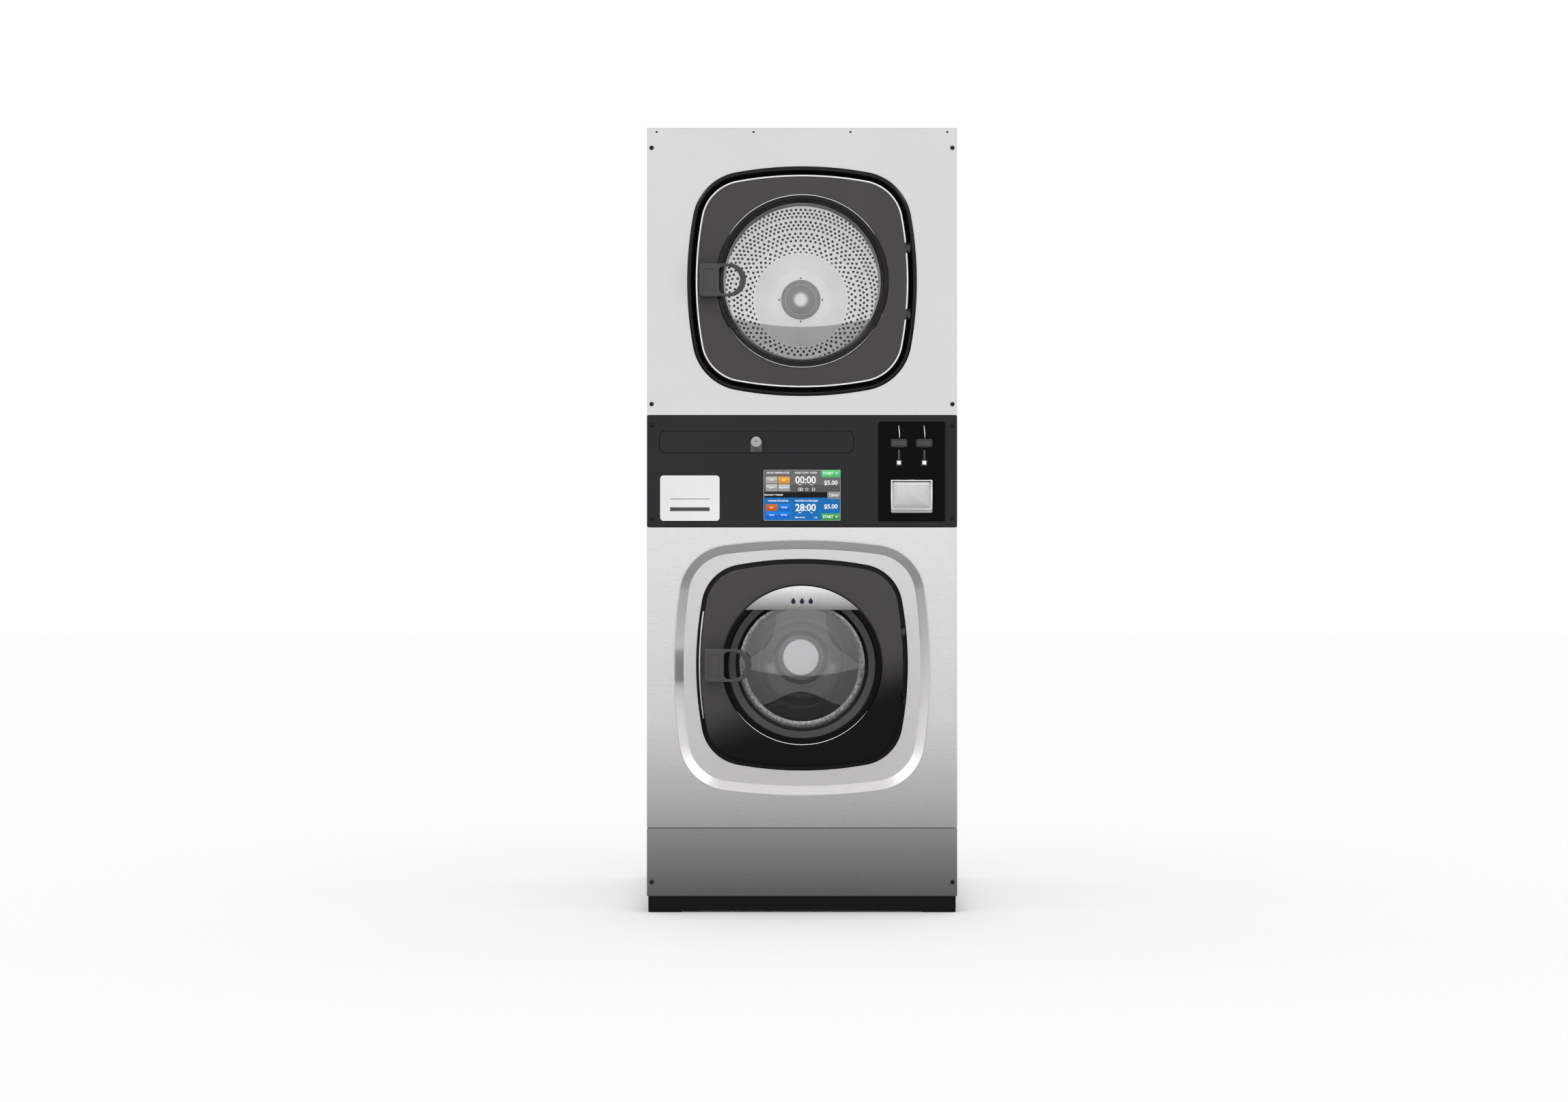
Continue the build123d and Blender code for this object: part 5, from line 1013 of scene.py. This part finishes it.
# %% Screws and louvres
side_x, corner_heights = 380.5 * mm, (77, 997.5, 1233, 1286, 1934.5)
corner_screws = [(s * side_x, front_y, z * mm) for z in corner_heights for s in (-1, 1)]
set_pieces("panel_corner_screws", screw_head(5 * mm, 3 * mm, 2.3 * mm), corner_screws, black_oxide, 3,
           stands_for=["panel_screws"])
head_z = 1974.5 * mm
top_screws = [(x * mm, front_y, head_z) for x in (-367.6, -122.5, 122.5, 367.6)]
set_pieces("top_edge_screws", screw_head(2.4 * mm, 1.2 * mm, 1.1 * mm), top_screws, black_oxide, 5)
bolt_circle = 58.6 * mm
bolts = [(bolt_circle * x, front_y + hub_depth, dryer_z + bolt_circle * z)
         for x, z in ((1, 0), (0, 1), (-1, 0), (0, -1))]
set_pieces("hub_bolts", screw_head(2.2 * mm, 1.4 * mm, 1.0 * mm), bolts, black_oxide, 7, "dryer_drum")
rear_screws = []
for panel in ("rear_panel_lower", "rear_panel_upper"):
    low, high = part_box(panel)
    rows = [low.z + 20 * mm + (high.z - low.z - 40 * mm) * i / 4 for i in range(5)]
    rear_screws += [(s * (high.x - 15 * mm), rear_y, z) for z in rows for s in (-1, 1)]
set_pieces("rear_panel_screws", screw_head(5.5 * mm, 3 * mm, 2.6 * mm, 1), rear_screws, zinc_plate, 11)

louvre_length, hood_rise, hood_reach = 236 * mm, 13 * mm, 7 * mm
hood = []
for x in (-0.5, -0.47, 0.47, 0.5):
    squash = 0.35 if abs(x) == 0.5 else 1.0
    turns = [math.pi / 2 * i / 6 for i in range(7)]
    arc = [(hood_reach * squash * math.sin(a), hood_rise * math.cos(a)) for a in turns]
    skin_in = [(max(y - 1.2 * mm, 0.0), max(z - 1.2 * mm, 0.0)) for y, z in reversed(arc)]
    hood.append([(x * louvre_length, y, z) for y, z in arc + skin_in])
hood_shape = bpy.data.objects.new("louvre_hood", mesh_of("louvre_hood", [skin(hood)]))
louvre_count, louvre_pitch, louvre_z = 7, 26 * mm, 1560 * mm
louvre_points = [(0, rear_y, louvre_z + louvre_pitch * (i - 3)) for i in range(louvre_count)]
set_pieces("louvre_hoods", hood_shape, louvre_points, galvanised_sheet, 13,
           turn=0.0)
print("screws:", len(corner_screws + top_screws + rear_screws), "louvres:", len(louvre_points))

# %% [markdown]
# ## Bright lines
# A thin bead edges each ring, a rolled lip whose upper side mirrors the lamp overhead. A bead is thickest in
# its middle and tapers to nothing at its ends.


# %% Beads and the door's trim strip
def bead(name, body, radius, thick, depth, z, first, last):
    """Round wire on an arc between two turns, in degrees, tapered towards both ends."""
    steps = 72
    loops = []
    for i in range(steps + 1):
        share = i / steps
        a = math.radians(first + (last - first) * share)
        r = max(thick / 2 * math.sin(math.pi * share) ** 0.5, 0.05 * mm)
        loop = []
        for k in range(10):
            b = 2 * math.pi * k / 10
            reach = radius + r * math.cos(b)
            loop.append((reach * math.cos(a), front_y + depth + r * math.sin(b), z + reach * math.sin(a)))
        loops.append(loop)
    settle(mesh_of(name, [skin(loops)], 50), body, polished_chrome)


dryer_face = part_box("dryer_door_ring")[0].y - front_y
washer_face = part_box("washer_door_ring")[0].y - front_y
dryer_bead_r, washer_bead_r, bead_sink = 218 * mm, 202 * mm, 1 * mm
dryer_bead_depth, washer_bead_depth = dryer_face + bead_sink, washer_face + bead_sink
bead("dryer_ring_bead_top", "dryer_door", dryer_bead_r, 3.0 * mm, dryer_bead_depth, dryer_z, 32, 148)
bead("dryer_ring_bead_low", "dryer_door", dryer_bead_r, 2.4 * mm, dryer_bead_depth, dryer_z, 212, 328)
bead("washer_ring_bead", "washer_door", washer_bead_r, 3.0 * mm, washer_bead_depth, washer_z, 215, 325)

clamp_rows = ((19.8 * mm, 160 * mm), (17.4 * mm, 159.4 * mm), (15.6 * mm, 155 * mm), (16.2 * mm, 149 * mm),
              (17.8 * mm, 144 * mm), (19.2 * mm, 143.4 * mm), (19.8 * mm, 145 * mm))
clamp = mesh_of("glass_clamp_ring", [lathe(clamp_rows, washer_z)])
settle(clamp, "washer_door", rubbed_steel)
edge_half = extent("washer_door_frame").x / 2
strip_out, strip_wide, strip_half = 2.2 * mm, 3.5 * mm, 135.5 * mm
side_r = 900 * mm
loops = []
for i in range(25):
    rise = strip_half * (2 * i / 24 - 1)
    edge_x = middle("washer_door_frame").x - edge_half + side_r - math.sqrt(side_r ** 2 - rise ** 2)
    near, far = edge_x - strip_out, edge_x - strip_out - strip_wide
    loops.append([(near, front_y + 8 * mm, washer_z + rise), (near, front_y + 12 * mm, washer_z + rise),
                  (far, front_y + 12 * mm, washer_z + rise), (far, front_y + 8 * mm, washer_z + rise)])
settle(mesh_of("washer_door_gap_strip", [skin(loops)]), "root", polished_chrome)
print("beads and strip made")

# %% [markdown]
# ## The control band's fittings
# Around the coin slots everything is small and sharp: thin bright guides, button surrounds, a lamp over each
# return slot. The vault's cover carries a polished frame, and the lint drawer's lock a folded tab.

# %% Coin plate, vault and lint tab
guide_z, chute_z, housing_z, lens_z = 1216.2 * mm, 1157 * mm, 1137.2 * mm, 1138 * mm
plate_face = -2.6 * mm
for side in ("left", "right"):
    x = middle("coin_reject_button_" + side).x
    z = middle("coin_reject_button_" + side).z
    guide = []
    for i in range(15):
        rise = 32 * mm * (i / 14 - 0.5)
        lean = 2.5 * mm * math.cos(math.pi * i / 28) - 1 * mm
        half = 0.9 * mm * math.sin(math.pi * (0.08 + 0.84 * i / 14)) + 0.2 * mm
        guide.append([(x + lean + s * half, front_y + d * mm, guide_z + rise)
                      for s, d in ((1, -3.0), (1, -4.2), (-1, -4.2), (-1, -3.0))])
    settle(mesh_of("coin_guide_" + side, [skin(guide)]), "root", polished_chrome)
    surround = frame_box(41 * mm, 20.5 * mm, 4.5 * mm, 2.4 * mm, -4.6 * mm, plate_face, x, z, 0.6 * mm)
    settle(mesh_of("reject_surround_" + side, [surround]), "root", grey_nylon)
    chute = eased_box(5 * mm, 26 * mm, 1 * mm, -3.8 * mm, plate_face, x, chute_z, 0.4 * mm)
    settle(mesh_of("return_slide_" + side, [chute]), "root", grey_nylon)
    housing = frame_box(15 * mm, 15 * mm, 2 * mm, 2.2 * mm, -5.0 * mm, plate_face, x, housing_z, 0.5 * mm)
    settle(mesh_of("lamp_housing_" + side, [housing]), "root", grey_nylon)
    lens = eased_box(9.6 * mm, 10 * mm, 1 * mm, -4.4 * mm, plate_face, x, lens_z, 0.5 * mm)
    settle(mesh_of("lamp_lens_" + side, [lens]), "root", lamp_white)

vault_x, vault_z = middle("coin_vault_lock").x, middle("coin_vault_lock").z
cover_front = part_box("coin_vault")[0].y - front_y
rim = frame_box(104.8 * mm, 76.8 * mm, 3 * mm, 4.5 * mm, cover_front - 1.6 * mm, cover_front + 1 * mm,
                vault_x, vault_z, 1.2 * mm)
settle(mesh_of("vault_cover_rim", [rim]), "coin_vault", polished_chrome)
pad = skin([round_box(w * mm, h * mm, 1.5 * mm, cover_front + d * mm, vault_x, vault_z)
            for w, h, d in ((91, 63, 0.5), (91, 63, -0.4), (75, 51, -2.2))])
pad_mesh = mesh_of("vault_cover_pad", [pad])
settle(pad_mesh, "coin_vault", vault_silver)

knob_x, knob_z = middle("lint_lock_barrel").x, middle("lint_lock_barrel").z
tab = eased_box(30 * mm, 31 * mm, 2 * mm, -3.6 * mm, 0.0, knob_x, knob_z - 13 * mm, 1 * mm)
settle(mesh_of("lint_drawer_tab", [tab]), "lint_drawer", smoked_steel)
knob_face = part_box("lint_lock_barrel")[0].y - front_y
disc_rows = ((knob_face + 1 * mm, 0.0), (knob_face + 1 * mm, 9.5 * mm), (knob_face - 0.8 * mm, 9 * mm),
             (knob_face - 0.8 * mm, 0.0))
disc = lathe(disc_rows, knob_z, knob_x, 48)
blade = eased_box(9 * mm, 1.6 * mm, 0.5 * mm, knob_face - 1.2 * mm, knob_face, knob_x, knob_z, 0.2 * mm)
settle(mesh_of("lint_lock_disc", [disc]), "lint_lock", satin_anodised)
settle(mesh_of("lint_lock_keyway", [blade]), "lint_lock", black_oxide)
print("control band fittings made")

# %% [markdown]
# ### The badge
# The silver segment over the washer's glass carries a plain pill with three drops of water, a sign for
# washing that needs no words.

# %% Drops on the badge
badge_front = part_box("badge_plate")[0].y - front_y
pill_z = washer_z + 162 * mm
drop_r, drop_rise = 5.6 * mm, 9.5 * mm
drops = []
for at in (-22, 0, 22):
    drop = []
    for i in range(32):
        a = 2 * math.pi * i / 32
        taper = 1 - 0.55 * max(math.sin(a), 0.0) ** 1.5
        reach = drop_rise if math.sin(a) > 0 else drop_r
        drop.append((at * mm + drop_r * math.cos(a) * taper, pill_z - 2 * mm + reach * math.sin(a)))
    drops.append(skin([[(x, front_y + badge_front + d * mm, z) for x, z in drop] for d in (0.3, -0.25)]))
settle(mesh_of("badge_drops", drops), "washer_door", navy_ink)
print("three drops at", round(pill_z, 3))

# %% [markdown]
# ### The lit display
# The screen shows a picture made of flat coloured plates and words, each a hair in front of the last. Their
# colour is stored on the mesh as an attribute named ink, and one material lights up every plate with it.
# Positions are millimetres from the screen's centre, across and up.

# %% Plates and words
screen = middle("touch_display")
white_ink = "#FFFFFF"
screen_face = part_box("touch_display")[0].y - front_y
layer = 0.06 * mm
shown = []


def inked(mesh, code, level):
    """Take the mesh as drawn on layer number level in this colour."""
    shown.append((mesh, linear(code), -layer * level))


def plate(left, right, low, high, code, level, corner, fade=None):
    """Rounded plate. With fade, its lower half has a second colour."""
    size = (abs(right - left) * mm, abs(high - low) * mm)
    place = (screen.x + (left + right) / 2 * mm, screen.z + (low + high) / 2 * mm)
    loops = [round_box(*size, corner * mm, screen_face + d, *place, 3) for d in (0.0, -0.5 * layer)]
    inked(mesh_of("plate", [skin(loops)]), code, level)
    if fade:
        plate(left + 0.5, right - 0.5, low + 0.5, (low + high) / 2, fade, level + 1, corner)


def words(text, across, up, width, height):
    """Flat white word of this size, centred there, a little bolder than the plain letters."""
    font = bpy.data.curves.new(text, "FONT")
    font.body = text
    font.offset = 0.02
    font.resolution_u = 3
    holder = bpy.data.objects.new(text, font)
    bpy.context.scene.collection.objects.link(holder)
    graph = bpy.context.evaluated_depsgraph_get()
    mesh = bpy.data.meshes.new_from_object(holder.evaluated_get(graph), depsgraph=graph)
    bpy.data.objects.remove(holder)
    spots = np.empty(len(mesh.vertices) * 3)
    mesh.vertices.foreach_get("co", spots)
    spots = spots.reshape(-1, 3)
    low, high = spots.min(axis=0), spots.max(axis=0)
    x = (spots[:, 0] - (low[0] + high[0]) / 2) / (high[0] - low[0]) * width * mm + screen.x + across * mm
    z = (spots[:, 1] - (low[1] + high[1]) / 2) / (high[1] - low[1]) * height * mm + screen.z + up * mm
    y = np.full(len(x), front_y + screen_face)
    mesh.vertices.foreach_set("co", np.stack([x, y, z], axis=1).ravel())
    inked(mesh, white_ink, 5)


plate(-97.5, 97.5, 8, 64.5, "#6E6E6E", 1, 4)
plate(-97.5, 97.5, 8, 26, "#5A5A5A", 2, 0.4)
plate(-97.5, 97.5, -6, 8, "#0E0E0E", 1, 0.6)
plate(-97.5, 97.5, -64.5, -6, "#0E73C0", 1, 4)
plate(-97.5, 97.5, -36, -6, "#1070BA", 2, 0.4)
for left, low, height, code, fade in (
    (-91.5, 30, 17, "#C4C4C4", "#A4A4A4"), (-60, 30, 17, "#F9B23A", "#F09A20"),
    (-91.5, 10.5, 17, "#C9C9C9", "#A0A0A0"), (-60, 10.5, 17, "#C9C9C9", "#A0A0A0"),
    (-91.5, -39.5, 17, "#DD6A1E", "#C75510"), (-60, -39.5, 17, "#1784F0", "#0A62D8"),
    (-91.5, -58.5, 17, "#1784F0", "#0A62D8"), (-60, -58.5, 17, "#1784F0", "#0A62D8"),
):
    plate(left, left + 29, low, low + height, code, 3, 1.0, fade)
plate(-27.6, -26.4, 12, 52, "#5C6E80", 3, 0.3)
plate(-27.6, -26.4, -60, -16, "#2D86C8", 3, 0.3)
plate(49, 97.5, 46, 64.5, "#5DDC86", 3, 1.5, "#45C872")
plate(49, 97.5, -64.5, -46, "#4DB45E", 3, 1.5, "#36984A")
plate(64, 97.5, -9, 9, "#9B9B9B", 3, 4.5, "#868686")
for text, across, up, width, height in (
    ("DRYER TEMPERATURE", -61, 57, 57, 4.4), ("INSERT COIN / TOKEN", 10, 57, 56, 4.4),
    ("00:00", 9, 39, 52, 18.5), ("$5.00", 73, 31, 34, 13), ("START", 66, 55.5, 26, 7.6),
    ("MONDAY 9:00AM", -72, 1, 46, 4.6), ("ENG", 84, 0, 15, 6.2), ("WASHER PROGRAM", -61, -14, 51, 4.4),
    ("WASHING IN PROGRESS", 11, -14, 59, 4.4), ("28:00", 9, -31, 52, 18.5), ("$5.00", 73, -29, 34, 13),
    ("START", 66, -54.5, 26, 7.6), ("HIGH", -77, 38.5, 12, 4), ("MID", -45.5, 38.5, 9, 4),
    ("LOW", -77, 19, 11, 4), ("DELICATE", -45.5, 19, 25, 4), ("HOT", -77, -31, 10, 4),
    ("WARM", -45.5, -31, 15, 4),
    ("COLD", -77, -50, 13, 4), ("EXTRA", -45.5, -50, 16, 4), ("Min", -5, 27, 7, 3), ("Sec", 24, 27, 6, 3),
    ("Min", -5, -43.5, 7, 3), ("Sec", 24, -43.5, 6, 3), ("Main Wash", -5, -56, 25, 3.8),
    ("1/6", 35, -56, 7, 3.8),
):
    words(text, across, up, width, height)
for up in (55.5, -54.5):
    arrow = [(86, up + 3.2), (86, up - 3.2), (90, up)]
    loops = [[(screen.x + u * mm, front_y + screen_face + d, screen.z + v * mm) for u, v in arrow]
             for d in (0.0, -0.5 * layer)]
    inked(mesh_of("arrow", [skin(loops)]), white_ink, 5)
for across, up, radius in ((-6, 15, 4.0), (-1, 15, 4.0), (12, 15, 3.6), (29, 15, 4.0), (72.5, 0, 3.6)):
    outer, inner = radius * mm, (radius - 1.1) * mm
    near, far = screen_face - 0.5 * layer, screen_face
    rows = ((far, outer), (near, outer), (near, inner), (far, inner))
    ring = lathe(rows, screen.z + up * mm, screen.x + across * mm, 32)
    inked(mesh_of("ring", [ring]), white_ink, 5)

picture = bmesh.new()
ink = picture.verts.layers.float_color.new("ink")
for mesh, colour, lift in shown:
    known = len(picture.verts)
    mesh.transform(Matrix.Translation((0, lift, 0)))
    picture.from_mesh(mesh)
    picture.verts.ensure_lookup_table()
    for vertex in picture.verts[known:]:
        vertex[ink] = colour
display_mesh = bpy.data.meshes.new("display_picture")
picture.to_mesh(display_mesh)
picture.free()
settle(display_mesh, "root", lit_display)
bezel_ring = frame_box(195 * mm, 129 * mm, 5.4 * mm, 1.3 * mm, screen_face - 0.9 * mm,
                       screen_face + 0.5 * mm, screen.x, screen.z, 0.3 * mm)
settle(mesh_of("display_rim", [bezel_ring]), "root", satin_anodised)
print("display pieces:", len(shown), "faces:", len(display_mesh.polygons))
